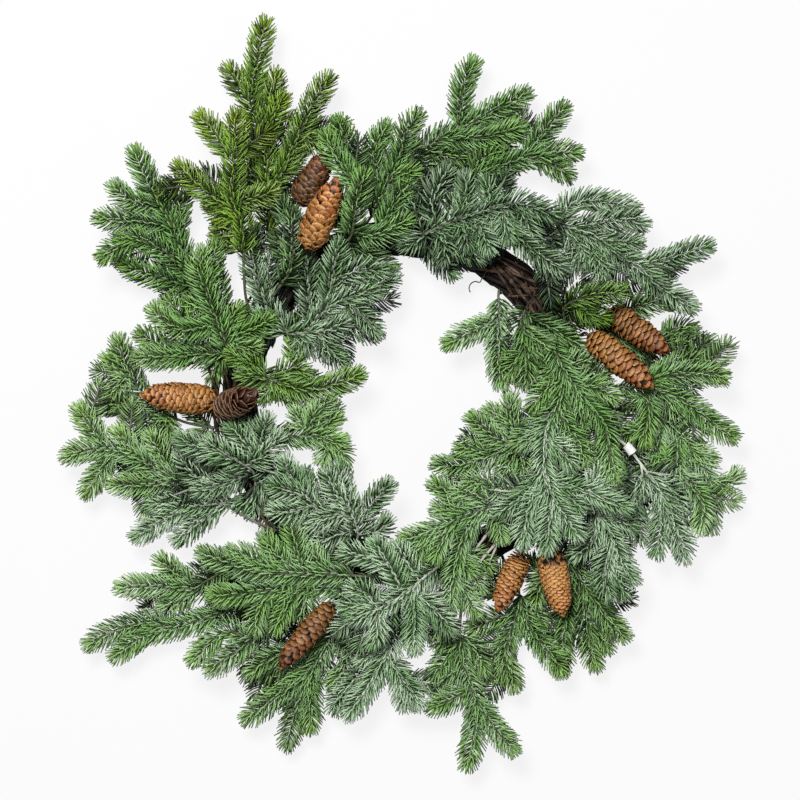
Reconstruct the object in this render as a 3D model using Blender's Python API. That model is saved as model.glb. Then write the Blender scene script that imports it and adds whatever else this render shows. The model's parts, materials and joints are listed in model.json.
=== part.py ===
"""Pine cone wreath: frosted fir sprays and nine spruce cones on a ring of twisted grapevine canes.

Lengths below are millimetres and become metres where the meshes are made. The wreath lies on its back:
+Z points away from the surface, +Y to the top of the wreath as it would hang.
"""
import math
import random

import bmesh
import bpy
import numpy as np
from mathutils import Vector
from mathutils.bvhtree import BVHTree
from mathutils.kdtree import KDTree

MM = 0.001

# Grapevine ring
RING_MIDDLE = (5.0, -2.0)
RING_RADIUS = 166.0
CANE_COUNT = 6
CANE_RADIUS = 5.0
BUNDLE_RADIUS = 15.0
CANE_TURNS = 2
CANE_START = 30.0
RING_STEPS = 36
CANE_SIDES = 5
FLAT_CUT = 0.3
RING_HEIGHT = BUNDLE_RADIUS + CANE_RADIUS * math.cos(math.pi / CANE_SIDES) - FLAT_CUT

# Binding wire
WIRE_RADIUS = 0.6
TIE_REACH = 20.6
TIE_SIDES = 4
TIE_ANGLES = {"wire_tie_1": 58.0, "wire_tie_2": 130.0, "wire_tie_3": 178.0, "wire_tie_4": 276.0}
TIE_SWEEP = (-20, 200)
TIE_STEP = 20
LOOP_TIE = "wire_tie_1"
LOOP_RADIUS = 7.0
LOOP_NECK = 4.0
LOOP_SWEEP = 270
LOOP_STEP = 30
LOOP_RISE = 6.0

# Fir sprays
ROOT_REACH = 22.3
STEM_RADIUS = 1.7
TWIG_RADIUS = 1.25
SEAT_GAP = 0.35
NEEDLE_LENGTH = 18.0
NEEDLE_CHANGE = (0.92, 1.05)
END_NEEDLE = 0.6
NEEDLE_BASE = 3.0
NEEDLE_ROOT_RADIUS = 2.1
WHORL_STEP = 34.0
LEAN = math.radians(52.0)
TIP_LEAN = math.radians(30.0)
TIP_REACH = 14.0
BARE_STEP = 45.0
SIDE_SPREAD = 0.42
NEEDLE_TRIES = ((0.0, 1.0), (-0.25, 1.0), (0.2, 0.85), (-0.3, 0.7), (0.0, 0.55))
CLEARANCE = 0.4
BEAD_STEP = 5.0
BEAD_GAP = 5.2
CURVE_STEP = 0.05
HEADING_REACH = 2.0
CLIMB_LENGTH = 30.0
SIDE_RISE = (-0.08, 0.22)
FORK_LENGTH = 9.0
FORK_SPACE = 9.0
FORK_REACH = 5.0
FORK_LEAD = 14.0
FIRST_STATION = 12.0
SHORTEST_STEP = 0.6
SEARCH_REACH = 60.0

# Settling of the twigs clear of each other, the ring and the cones
SETTLE_ROUNDS = 140
SMOOTH_ROUNDS = 3
FLOOR_HEIGHT = 7.0
CONE_MARGIN = 3.0
CONE_LIFT = 4.0
CONE_PUSH = 0.6
SIDEWAYS = 0.4
LEAST_LIFT = 0.8
STIFF_ROOT = 12.0

# Cones
CONE_SIDES = 12
CONE_ROWS = 12
SCALE_OUT = 1.07
SCALE_IN = 0.82
SCALE_SLIDE = 0.45
ROW_TWIST = 0.12
CONE_GAP = 0.5
STALK_RADIUS = 1.5
STALK_SIDES = 4
STALK_INSIDE = 4.0
STALK_NECK = 1.5
STALK_OUTSIDE = 5.0
CONE_PLACES = (0.0, 0.08, 0.25, 0.55, 0.78, 0.92, 1.0)
CONE_WIDTHS = (0.50, 0.82, 1.00, 0.96, 0.78, 0.52, 0.20)

# Tape band on the pale stem at the right
TAPE_SPRAY = "spray_right_taped"
TAPE_POINT = (224.0, -44.0)
TAPE_RADIUS = 4.6
TAPE_LENGTH = 11.0
TAPE_SIDES = 8

COLOURS = {
    "needles_fresh": (0.13, 0.25, 0.03),
    "needles_green": (0.07, 0.20, 0.05),
    "needles_frosted": (0.25, 0.38, 0.26),
    "vine": (0.06, 0.035, 0.02),
    "wire": (0.05, 0.05, 0.05),
    "tape": (0.80, 0.78, 0.74),
    "cone_brown": (0.10, 0.05, 0.02),
    "cone_tan": (0.45, 0.20, 0.07),
    "cone_red": (0.28, 0.09, 0.03),
}

# name, colour, base point and tip point of the axis, largest radius
CONES = [
    ("cone_top_dark", "cone_brown", (-102, 197, 36), (-70, 250, 40), 17.0),
    ("cone_top_tan", "cone_tan", (-92, 152, 66), (-62, 219, 72), 18.0),
    ("cone_left_long", "cone_red", (-186, -1, 36), (-260, 6, 42), 16.5),
    ("cone_left_open", "cone_brown", (-180, -9, 58), (-141, 6, 98), 16.0),
    ("cone_bottom_left", "cone_red", (-67, -204, 52), (-121, -268, 46), 16.0),
    ("cone_bottom_red", "cone_red", (123, -152, 42), (97, -212, 42), 14.5),
    ("cone_bottom_tan", "cone_tan", (149, -152, 52), (163, -216, 48), 16.0),
    ("cone_right_rear", "cone_red", (207, 90, 42), (269, 47, 46), 18.0),
    ("cone_right_front", "cone_tan", (188, 64, 60), (252, 12, 66), 17.5),
]

# Each spray: name, colour, root on the ring (degrees round the ring, degrees round the bundle from
# its outer side over the top), heights after the root and at the tip, bare length of the main stem,
# then the plan routes of the main stem and of its side twigs, each from its root to its tip.
SPRAYS = [
    ("spray_top_left_front", "needles_fresh", (150, 60), (44, 72), 62,
     [[(-154, 102), (-156, 135), (-157, 175), (-166, 200), (-164, 248), (-161, 293)],
      [(-166, 240), (-187, 268), (-205, 288)],
      [(-160, 188), (-184, 202), (-199, 213), (-228, 239)],
      [(-160, 196), (-135, 203), (-116, 212)]]),
    ("spray_top_left_rear", "needles_fresh", (135, 20), (30, 46), 40,
     [[(-124, 138), (-132, 178), (-133, 228), (-138, 263), (-150, 298), (-145, 329), (-133, 387)],
      [(-151, 300), (-164, 320), (-178, 340)],
      [(-135, 260), (-123, 292), (-112, 312)],
      [(-132, 210), (-113, 240), (-91, 288), (-66, 331)]]),
    ("spray_top_left_inner", "needles_green", (145, 78), (54, 70), 30,
     [[(-120, 113), (-109, 130), (-106, 160), (-107, 195)]]),
    ("spray_upper_left_frosted", "needles_frosted", (153, 128), (50, 60), 20,
     [[(-97, 67), (-75, 88), (-49, 103), (-13, 110)],
      [(-91, 75), (-92, 110), (-93, 153)],
      [(-72, 90), (-66, 129), (-59, 166)],
      [(-55, 100), (-36, 83), (-17, 57)],
      [(-97, 65), (-75, 68), (-45, 82)],
      [(-112, 62), (-134, 95), (-132, 130), (-122, 156)]]),
    ("spray_left_inner_bright", "needles_fresh", (168, 110), (48, 60), 10,
     [[(-115, 15), (-90, 10), (-55, 19), (-31, 31)],
      [(-122, 30), (-105, 33), (-84, 20)],
      [(-132, 24), (-148, 31), (-165, 38)]]),
    ("spray_left_top", "needles_green", (163, 10), (28, 48), 40,
     [[(-178, 82), (-204, 118), (-218, 150), (-230, 179), (-246, 205), (-269, 258)],
      [(-240, 195), (-270, 200), (-292, 221)],
      [(-228, 174), (-260, 178), (-285, 180), (-310, 183)],
      [(-225, 165), (-222, 188), (-212, 212)],
      [(-208, 125), (-235, 148), (-260, 160), (-289, 160)],
      [(-262, 160), (-282, 152), (-304, 135)],
      [(-200, 112), (-228, 119), (-260, 129), (-288, 144)]]),
    ("spray_left_front_brush", "needles_green", (171, 60), (52, 74), 15,
     [[(-174, 58), (-186, 91), (-197, 125), (-193, 157)],
      [(-182, 76), (-213, 70), (-234, 80), (-252, 97)],
      [(-173, 46), (-221, 46), (-247, 59), (-269, 71)],
      [(-176, 60), (-148, 70), (-121, 87)],
      [(-200, 45), (-235, 42), (-272, 43)]]),
    ("spray_left_middle", "needles_green", (187, -5), (14, 24), 45,
     [[(-190, -28), (-224, -20), (-250, -2), (-265, 13), (-279, 43), (-287, 71)],
      [(-265, 11), (-285, 30), (-302, 51)],
      [(-224, -21), (-247, -21), (-279, -6), (-312, -7)]]),
    ("spray_left_far", "needles_green", (203, 10), (26, 44), 30,
     [[(-185, -85), (-230, -78), (-255, -62), (-285, -50), (-311, -50), (-344, -59)],
      [(-294, -47), (-311, -25), (-328, 0)],
      [(-288, -52), (-304, -77), (-321, -101)],
      [(-250, -64), (-272, -45), (-290, -23)],
      [(-228, -78), (-243, -50), (-256, -27)],
      [(-220, -87), (-260, -87), (-298, -83)]]),
    ("spray_left_lower", "needles_frosted", (212, 25), (34, 40), 15,
     [[(-175, -103), (-210, -108), (-240, -122), (-273, -143)],
      [(-178, -105), (-205, -125), (-231, -147)]]),
    ("spray_left_front_frosted", "needles_frosted", (208, 80), (56, 70), 5,
     [[(-148, -70), (-174, -53), (-200, -36)],
      [(-152, -78), (-178, -86), (-212, -91)],
      [(-184, -87), (-208, -72), (-222, -46)],
      [(-130, -76), (-128, -50), (-116, -26)],
      [(-150, -60), (-158, -38), (-178, -20)]]),
    ("spray_left_inner", "needles_green", (192, 150), (40, 54), 10,
     [[(-112, -36), (-85, -37), (-65, -42), (-48, -36)],
      [(-82, -34), (-68, -20), (-52, -14)],
      [(-72, -38), (-74, -52), (-80, -70)],
      [(-85, -36), (-86, -16), (-84, 2)]]),
    ("spray_lower_left_inner", "needles_frosted", (250, 118), (50, 64), 8,
     [[(-42, -135), (-49, -111), (-62, -95), (-77, -63)],
      [(-45, -124), (-29, -104), (-4, -76)],
      [(-43, -136), (-20, -130), (-10, -110)],
      [(-51, -110), (-70, -115), (-86, -106), (-94, -88), (-95, -62)],
      [(-74, -114), (-84, -124), (-103, -128)]]),
    ("spray_lower_left_long", "needles_green", (265, 100), (60, 66), 48,
     [[(-22, -175), (-55, -174), (-100, -173), (-138, -170), (-170, -162), (-206, -149)],
      [(-25, -177), (-40, -186), (-70, -188), (-97, -188), (-115, -210), (-127, -238)],
      [(-97, -172), (-102, -152), (-106, -133), (-112, -109)],
      [(-105, -187), (-135, -188), (-160, -193), (-197, -194)],
      [(-130, -188), (-141, -209), (-144, -240)]]),
    ("spray_lower_left_upper", "needles_green", (227, 15), (26, 40), 30,
     [[(-138, -162), (-172, -180), (-200, -190), (-228, -172), (-247, -152)],
      [(-202, -190), (-216, -189), (-255, -186), (-289, -188)]]),
    ("spray_lower_left_far", "needles_green", (239, 0), (24, 32), 30,
     [[(-115, -185), (-150, -204), (-183, -216), (-220, -227), (-257, -237), (-295, -264)],
      [(-230, -229), (-257, -224), (-290, -233), (-321, -251)],
      [(-115, -185), (-130, -222), (-154, -245), (-171, -256), (-199, -275)],
      [(-150, -243), (-172, -231), (-195, -248), (-213, -267)]]),
    ("spray_bottom_left", "needles_green", (249, -5), (22, 34), 40,
     [[(-58, -200), (-70, -240), (-90, -272), (-115, -292), (-163, -326)],
      [(-95, -278), (-104, -310), (-117, -358)],
      [(-87, -272), (-90, -300), (-90, -341)],
      [(-72, -240), (-105, -252), (-135, -262), (-157, -281)],
      [(-62, -225), (-52, -262), (-76, -294)]]),
    ("spray_bottom_frosted_front", "needles_frosted", (285, 95), (62, 72), 18,
     [[(27, -174), (2, -194), (-24, -208), (-58, -220)],
      [(4, -190), (-11, -162), (-31, -132)],
      [(10, -188), (14, -215), (14, -240), (17, -257)]]),
    ("spray_bottom_frosted_low", "needles_frosted", (269, 30), (44, 46), 30,
     [[(-2, -210), (-8, -245), (-18, -262), (-29, -282), (-43, -302), (-57, -323)],
      [(-9, -246), (-43, -238), (-69, -230)],
      [(-6, -250), (5, -277), (15, -297), (21, -314)]]),
    ("spray_bottom_down", "needles_green", (292, 40), (44, 36), 70,
     [[(64, -195), (60, -228), (63, -260), (73, -292), (76, -322), (66, -377)],
      [(75, -300), (95, -328), (120, -357)],
      [(70, -294), (45, -303), (23, -313)],
      [(60, -240), (44, -262), (28, -288)]]),
    ("spray_bottom_middle", "needles_green", (302, -5), (18, 34), 40,
     [[(115, -175), (121, -202), (115, -225), (107, -250), (101, -290)],
      [(118, -215), (101, -218), (78, -228), (61, -231)],
      [(119, -212), (129, -229), (144, -248), (158, -264), (163, -283)],
      [(106, -255), (112, -278), (120, -297)]]),
    ("spray_bottom_right", "needles_green", (323, 8), (26, 38), 30,
     [[(165, -145), (177, -172), (189, -190), (203, -210), (216, -228), (233, -243)],
      [(185, -185), (188, -220), (192, -250), (200, -277)],
      [(165, -150), (168, -200), (164, -240), (162, -282)]]),
    ("spray_right_centre", "needles_frosted", (2, 100), (62, 82), 8,
     [[(153, -12), (144, -35), (143, -62), (147, -86), (158, -107), (171, -127), (183, -141)],
      [(143, -70), (127, -91), (107, -106), (91, -118)],
      [(147, -88), (130, -102), (123, -129), (121, -153)],
      [(153, -98), (148, -121), (143, -158)],
      [(145, -72), (160, -79), (184, -90), (216, -106)]]),
    ("spray_upper_right_hanging", "needles_green", (49, 160), (40, 56), 14,
     [[(100, 110), (99, 80), (98, 50), (102, 6)],
      [(98, 82), (66, 66), (39, 51)]]),
    ("spray_right_inner_upper", "needles_green", (38, 100), (58, 64), 8,
     [[(120, 78), (133, 62), (156, 50)],
      [(122, 75), (127, 40), (121, 6)],
      [(130, 80), (158, 66), (177, 52), (186, 33)]]),
    ("spray_right_main", "needles_green", (28, 95), (60, 76), 10,
     [[(152, 55), (160, 35), (172, 15), (190, -8), (203, -25), (208, -58), (213, -88)],
      [(174, 15), (197, 11), (222, -3)],
      [(162, 28), (156, -5), (133, -28), (107, -53)],
      [(157, -8), (165, -25), (178, -47), (190, -69)]]),
    ("spray_right_inner_lower", "needles_green", (345, 140), (50, 56), 8,
     [[(125, -45), (100, -40), (85, -28), (63, -12)],
      [(115, -48), (91, -58), (53, -66), (27, -62)],
      [(118, -44), (110, -15), (112, 12)]]),
    ("spray_lower_right_inner", "needles_green", (318, 115), (54, 60), 8,
     [[(105, -105), (90, -106), (76, -112), (53, -120), (35, -129), (15, -136), (-6, -139)],
      [(78, -111), (63, -137), (58, -155), (53, -178), (48, -218)],
      [(70, -114), (59, -107), (47, -92), (25, -78)],
      [(95, -105), (90, -84), (79, -81), (57, -82)],
      [(58, -158), (70, -170), (80, -178)]]),
    ("spray_lower_right_frosted", "needles_frosted", (343, 60), (48, 56), 20,
     [[(180, -90), (195, -112), (208, -130), (215, -148), (226, -172), (240, -186)],
      [(200, -120), (190, -142), (166, -162)],
      [(212, -142), (203, -175), (213, -203)]]),
    ("spray_right_taped", "needles_frosted", (354, 40), (52, 50), 85,
     [[(198, -28), (224, -44), (238, -61), (251, -79), (264, -101), (274, -127), (282, -146),
       (283, -168)],
      [(260, -95), (260, -125), (257, -146), (255, -163)],
      [(240, -64), (242, -84), (238, -104)]]),
    ("spray_right_upper", "needles_green", (9, 20), (38, 46), 35,
     [[(210, 15), (240, 12), (259, 9), (283, 0), (302, -15), (321, -30), (343, -41)],
      [(235, 13), (257, 22), (289, 26), (315, 25), (330, 16)],
      [(240, 11), (248, -11), (245, -34), (248, -53)]]),
    ("spray_right_outer", "needles_green", (358, -5), (26, 34), 50,
     [[(210, -8), (245, -12), (274, -25), (289, -48), (305, -67), (311, -90), (311, -115), (314, -139)],
      [(308, -78), (327, -84), (346, -67)],
      [(280, -35), (278, -70), (290, -84), (302, -105), (297, -139)]]),
    ("spray_right_tip", "needles_green", (32, 5), (24, 40), 40,
     [[(200, 80), (228, 88), (241, 93), (262, 100), (282, 92)],
      [(195, 76), (225, 62), (250, 55), (274, 58), (296, 57), (314, 53), (327, 44)]]),
    ("spray_upper_right", "needles_frosted", (66, 60), (44, 54), 20,
     [[(130, 178), (165, 174), (200, 159), (213, 148), (238, 132), (257, 114), (300, 87)],
      [(235, 134), (257, 138), (289, 148), (317, 156)],
      [(172, 174), (203, 178), (229, 179), (251, 170)],
      [(160, 175), (170, 193), (190, 199), (214, 195), (244, 187)],
      [(180, 168), (190, 148), (200, 137), (217, 123)]]),
    ("spray_upper_frosted_stem", "needles_frosted", (90, 80), (60, 68), 16,
     [[(21, 165), (53, 178), (86, 188), (115, 195), (139, 188), (164, 178)],
      [(84, 188), (108, 178), (129, 167)],
      [(50, 176), (57, 199), (73, 207)],
      [(29, 166), (44, 158), (62, 150), (91, 138)],
      [(17, 164), (34, 144), (60, 118)],
      [(100, 191), (118, 160), (148, 137), (170, 125)],
      [(38, 171), (32, 196), (40, 214), (51, 237)]]),
    ("spray_top_right_outer", "needles_green", (82, 30), (38, 48), 55,
     [[(45, 193), (61, 213), (87, 228), (112, 238), (135, 244), (160, 247), (187, 247)],
      [(125, 242), (138, 260), (152, 278), (170, 300)],
      [(135, 243), (158, 231), (176, 216)],
      [(90, 226), (104, 220), (116, 214)]]),
    ("spray_top_right", "needles_green", (96, 15), (26, 38), 35,
     [[(0, 210), (15, 241), (34, 260), (63, 273), (88, 287), (111, 299), (136, 312)],
      [(62, 273), (61, 296), (65, 320), (79, 347)],
      [(40, 262), (75, 262), (101, 266), (131, 276)],
      [(25, 250), (55, 245), (82, 240)]]),
    ("spray_top_middle", "needles_green", (104, 55), (44, 56), 15,
     [[(-28, 185), (-15, 210), (-2, 240), (8, 269), (24, 292)],
      [(-17, 206), (-27, 243), (-18, 266), (-6, 281)],
      [(-8, 222), (8, 226), (25, 232)],
      [(-28, 187), (-42, 215), (-50, 240), (-56, 262), (-66, 287)]]),
    ("spray_top_front", "needles_green", (113, 95), (60, 76), 6,
     [[(-48, 165), (-44, 189), (-39, 212), (-32, 234)],
      [(-47, 166), (-29, 163), (-11, 169), (17, 185)],
      [(-46, 160), (-20, 138), (2, 128)]]),
    ("spray_upper_right_bright", "needles_fresh", (26, 60), (60, 70), 10,
     [[(165, 94), (185, 102), (210, 106), (231, 110)],
      [(162, 92), (175, 88), (195, 84), (214, 76)]]),
]


def clear_scene():
    """Remove whatever the file held before."""
    for thing in list(bpy.data.objects):
        bpy.data.objects.remove(thing)


def make_material(colour_name):
    """The plain finish of one sort of piece."""
    material = bpy.data.materials.get(colour_name) or bpy.data.materials.new(colour_name)
    material.use_nodes = True
    shader = material.node_tree.nodes["Principled BSDF"]
    shader.inputs["Base Color"].default_value = (*COLOURS[colour_name], 1.0)
    shader.inputs["Roughness"].default_value = 0.35 if colour_name == "wire" else 0.7
    shader.inputs["Metallic"].default_value = 0.9 if colour_name == "wire" else 0.0
    return material


def finish_object(name, bm, colour_name):
    """Turn a bmesh in millimetres into a named object in metres."""
    bmesh.ops.triangulate(bm, faces=bm.faces[:])
    bmesh.ops.recalc_face_normals(bm, faces=bm.faces[:])
    bmesh.ops.scale(bm, verts=bm.verts[:], vec=(MM, MM, MM))
    mesh = bpy.data.meshes.new(name)
    bm.to_mesh(mesh)
    bm.free()
    mesh.materials.append(make_material(colour_name))
    thing = bpy.data.objects.new(name, mesh)
    bpy.context.scene.collection.objects.link(thing)
    return thing


def bundle_point(ring_angle, bundle_angle, reach):
    """A point round the bundle: bundle_angle 0 is its outer side and 90 its top, in degrees."""
    turn = math.radians(ring_angle)
    lift = math.radians(bundle_angle)
    radius = RING_RADIUS + reach * math.cos(lift)
    return Vector((RING_MIDDLE[0] + radius * math.cos(turn),
                   RING_MIDDLE[1] + radius * math.sin(turn),
                   RING_HEIGHT + reach * math.sin(lift)))


def even_points(points, step):
    """Points an even step apart along the smooth curve through the given ones, short of its end."""
    controls = [np.array(p, dtype=float) for p in points]
    if len(controls) == 2:
        controls.insert(1, (controls[0] + controls[1]) / 2)
    padded = [2 * controls[0] - controls[1]] + controls + [2 * controls[-1] - controls[-2]]
    fine = []
    for a, b, c, d in zip(padded, padded[1:], padded[2:], padded[3:]):
        for t in np.arange(0.0, 1.0, CURVE_STEP):
            fine.append(0.5 * (2 * b + (c - a) * t + (2 * a - 5 * b + 4 * c - d) * t ** 2
                               + (3 * b - a - 3 * c + d) * t ** 3))
    fine.append(controls[-1])
    fine = np.array(fine)
    length = np.concatenate([[0.0], np.cumsum(np.linalg.norm(np.diff(fine, axis=0), axis=1))])
    reach = length[-1] - TIP_REACH
    places = np.linspace(0.0, reach, max(3, int(round(reach / step)) + 1))
    return np.column_stack([np.interp(places, length, fine[:, k]) for k in range(3)])


class Twig:
    """One stem or side twig: its beads from root to tip, and where it leaves its parent."""

    def __init__(self, spray, beads, parent=None, join=0, bare=0.0):
        self.spray = spray
        self.beads = beads
        self.parent = parent
        self.join = join
        self.bare = bare
        self.measure()

    def measure(self):
        steps = np.linalg.norm(np.diff(self.beads, axis=0), axis=1)
        self.places = np.concatenate([[0.0], np.cumsum(steps)])
        self.length = self.places[-1]

    def point(self, place):
        return Vector([float(np.interp(place, self.places, self.beads[:, k])) for k in range(3)])

    def heading(self, place):
        ahead = self.point(min(place + HEADING_REACH, self.length))
        behind = self.point(max(place - HEADING_REACH, 0.0))
        return (ahead - behind).normalized()

    def radius(self, place):
        return STEM_RADIUS + (TWIG_RADIUS - STEM_RADIUS) * min(1.0, float(place / self.length))


def lay_twigs(chance):
    """Every spray's twigs at their first heights."""
    twigs = []
    for number, (_, _, root, heights, bare, routes) in enumerate(SPRAYS):
        start = bundle_point(*root, ROOT_REACH)
        family = []
        for route in routes:
            if not family:
                route = [(start.x, start.y)] + route
            flat = even_points([(x, y, 0.0) for x, y in route], BEAD_STEP)
            share = np.linspace(0.0, 1.0, len(flat))
            if not family:
                climb = np.interp(share * len(flat) * BEAD_STEP, [0.0, CLIMB_LENGTH], [0.0, 1.0])
                flat[:, 2] = start.z + (heights[0] - start.z) * climb + (heights[1] - heights[0]) * share
                family.append(Twig(number, flat, bare=bare))
                continue
            parent, join = nearest_fork(family, flat[0])
            base = parent.beads[join]
            rise = chance.uniform(*SIDE_RISE)
            flat[:, :2] += (base[:2] - flat[0, :2]) * (1.0 - share[:, None]) ** 2
            flat[:, 2] = base[2] + rise * len(flat) * BEAD_STEP * share
            family.append(Twig(number, flat, parent, join))
        twigs += family
    return twigs


def nearest_fork(family, spot):
    """The twig of a spray, and its bead, nearest to a spot in plan and free for a fork."""
    best = None
    for twig in family:
        gaps = np.linalg.norm(twig.beads[:, :2] - spot[:2], axis=1)
        gaps[twig.places < FIRST_STATION] = math.inf
        gaps[twig.places > twig.length - FORK_SPACE] = math.inf
        for other in family:
            if other.parent is twig:
                gaps[np.abs(twig.places - twig.places[other.join]) < FORK_SPACE] = math.inf
        join = int(np.argmin(gaps))
        if best is None or gaps[join] < best[0]:
            best = (gaps[join], twig, join)
    return best[1], best[2]


def cone_radius(share, widest):
    """Radius of a cone at a share of its length from base to tip."""
    return float(np.interp(share, CONE_PLACES, CONE_WIDTHS)) * widest


def push_from_cones(beads):
    """How far beads must move to stay clear of the cones."""
    moves = np.zeros_like(beads)
    for _, _, base, tip, widest in CONES:
        base, tip = np.array(base, dtype=float), np.array(tip, dtype=float)
        axis = tip - base
        share = np.clip(((beads - base) @ axis) / (axis @ axis), 0.0, 1.0)
        away = beads - (base + share[:, None] * axis)
        gap = np.linalg.norm(away, axis=1)
        needed = np.array([cone_radius(s, widest) for s in share]) * SCALE_OUT + CONE_MARGIN
        away[:, 2] += np.where(away[:, 2] >= 0.0, CONE_LIFT, -CONE_LIFT)
        away /= np.linalg.norm(away, axis=1)[:, None]
        moves += away * np.clip(needed - gap, 0.0, None)[:, None] * CONE_PUSH
    return moves


def push_from_bundle(beads):
    """How far beads must move to stay outside the bundle of canes."""
    flat = beads[:, :2] - np.array(RING_MIDDLE)
    distance = np.linalg.norm(flat, axis=1)
    across = np.column_stack([distance - RING_RADIUS, beads[:, 2] - RING_HEIGHT])
    reach = np.linalg.norm(across, axis=1) + 1e-9
    need = np.clip(ROOT_REACH - reach, 0.0, None) / reach
    moves = np.zeros_like(beads)
    moves[:, :2] = flat / distance[:, None] * (across[:, 0] * need)[:, None]
    moves[:, 2] = across[:, 1] * need
    return moves


def settle_twigs(twigs):
    """Bend the twigs clear of each other, the bundle and the cones, mostly upwards and downwards."""
    starts = np.concatenate([[0], np.cumsum([len(t.beads) for t in twigs])])
    owner = np.concatenate([np.full(len(t.beads), k) for k, t in enumerate(twigs)])
    place = np.concatenate([t.places for t in twigs])
    order = {id(t): k for k, t in enumerate(twigs)}
    parent = [order[id(t.parent)] if t.parent else -1 for t in twigs]
    beads = np.concatenate([t.beads for t in twigs])
    rank = beads[:, 2] + 0.01 * owner
    for _ in range(SETTLE_ROUNDS):
        tree = KDTree(len(beads))
        for k, bead in enumerate(beads):
            tree.insert(bead, k)
        tree.balance()
        moves = push_from_cones(beads) + push_from_bundle(beads)
        moves[:, 2] += np.clip(FLOOR_HEIGHT - beads[:, 2], 0.0, None)
        for i, bead in enumerate(beads):
            for _, j, gap in tree.find_range(bead, BEAD_GAP):
                if j <= i or owner[i] == owner[j] or share_fork(i, j, owner, place, parent):
                    continue
                away = (beads[i] - beads[j]) * np.array([SIDEWAYS, SIDEWAYS, 1.0])
                if abs(away[2]) < LEAST_LIFT:
                    away[2] = LEAST_LIFT if rank[i] > rank[j] else -LEAST_LIFT
                away *= 0.5 * (BEAD_GAP - gap) / np.linalg.norm(away)
                moves[i] += away
                moves[j] -= away
        for k, twig in enumerate(twigs):
            part = moves[starts[k]:starts[k + 1]]
            for _ in range(SMOOTH_ROUNDS):
                part[1:-1] = (part[:-2] + 2 * part[1:-1] + part[2:]) / 4
            part *= np.clip(twig.places / STIFF_ROOT, 0.0, 1.0)[:, None]
            if parent[k] >= 0:
                part += moves[starts[parent[k]] + twig.join]
        beads += moves
    for k, twig in enumerate(twigs):
        twig.beads = beads[starts[k]:starts[k + 1]]
        twig.measure()


def share_fork(i, j, owner, place, parent):
    """Whether two beads are near the fork that joins their twigs."""
    a, b = owner[i], owner[j]
    if parent[a] == b:
        return place[i] < FORK_LENGTH
    if parent[b] == a:
        return place[j] < FORK_LENGTH
    return parent[a] == parent[b] >= 0 and place[i] < FORK_LENGTH and place[j] < FORK_LENGTH


class Obstacles:
    """Everything that a needle must stay clear of, as straight segments with a radius at each end."""

    def __init__(self):
        self.rows = []
        self.table = None

    def add(self, start, end, start_radius, end_radius, twig=-1, whorl=-1):
        self.rows.append((*start, *end, start_radius, end_radius, twig, whorl))
        self.table = None

    def gap(self, start, end, root_radius, twig, whorl):
        """Clearance of a needle from the rest, leaving out its own twig's core and its own whorl."""
        if self.table is None:
            self.table = np.array(self.rows)
        rows = self.table
        reach = np.minimum(np.abs(rows[:, 0:3] - np.array(start)).max(axis=1),
                           np.abs(rows[:, 3:6] - np.array(start)).max(axis=1))
        own = (rows[:, 8] == twig) & ((rows[:, 9] == whorl) | (rows[:, 9] < 0))
        rows = rows[(reach < SEARCH_REACH) & ~own]
        if not len(rows):
            return SEARCH_REACH
        p, q = np.array(start), np.array(end) - np.array(start)
        r, s = rows[:, 0:3], rows[:, 3:6] - rows[:, 0:3]
        w = p - r
        a, b, c = q @ q, s @ q, np.einsum("ij,ij->i", s, s) + 1e-9
        d, e = w @ q, np.einsum("ij,ij->i", s, w)
        t = np.clip((b * e - c * d) / np.maximum(a * c - b * b, 1e-6), 0.0, 1.0)
        u = np.clip((b * t + e) / c, 0.0, 1.0)
        t = np.clip((b * u - d) / a, 0.0, 1.0)
        apart = np.linalg.norm(w + t[:, None] * q - u[:, None] * s, axis=1)
        return float((apart - root_radius * (1 - t) - rows[:, 6] * (1 - u) - rows[:, 7] * u).min())


def cane_point(cane, ring_angle):
    """Middle of a cane at an angle round the ring."""
    turn = CANE_START + 360.0 / CANE_COUNT * cane + CANE_TURNS * ring_angle
    return bundle_point(ring_angle, turn, BUNDLE_RADIUS)


def build_cane(cane):
    """One closed cane of the bundle, flat where it rests on the surface."""
    bm = bmesh.new()
    rings = []
    for step in range(RING_STEPS):
        ring_angle = 360.0 / RING_STEPS * step
        turn = CANE_START + 360.0 / CANE_COUNT * cane + CANE_TURNS * ring_angle
        middle = cane_point(cane, ring_angle)
        outward = Vector((math.cos(math.radians(ring_angle)), math.sin(math.radians(ring_angle)), 0.0))
        ring = []
        for side in range(CANE_SIDES):
            angle = math.radians(turn + 360.0 / CANE_SIDES * (side + 0.5))
            spot = middle + CANE_RADIUS * (math.cos(angle) * outward + Vector((0, 0, math.sin(angle))))
            ring.append(bm.verts.new(spot))
        rings.append(ring)
    for step, ring in enumerate(rings):
        after = rings[(step + 1) % RING_STEPS]
        for side in range(CANE_SIDES):
            near = (side + 1) % CANE_SIDES
            bm.faces.new([ring[side], ring[near], after[near], after[side]])
    bmesh.ops.triangulate(bm, faces=bm.faces[:])
    cut = bmesh.ops.bisect_plane(bm, geom=bm.verts[:] + bm.edges[:] + bm.faces[:], dist=1e-4,
                                 plane_co=(0, 0, 0), plane_no=(0, 0, -1), clear_outer=True)
    rim = [part for part in cut["geom_cut"] if isinstance(part, bmesh.types.BMEdge)]
    bmesh.ops.holes_fill(bm, edges=rim, sides=0)
    return finish_object("vine_cane_%d" % (cane + 1), bm, "vine")


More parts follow.
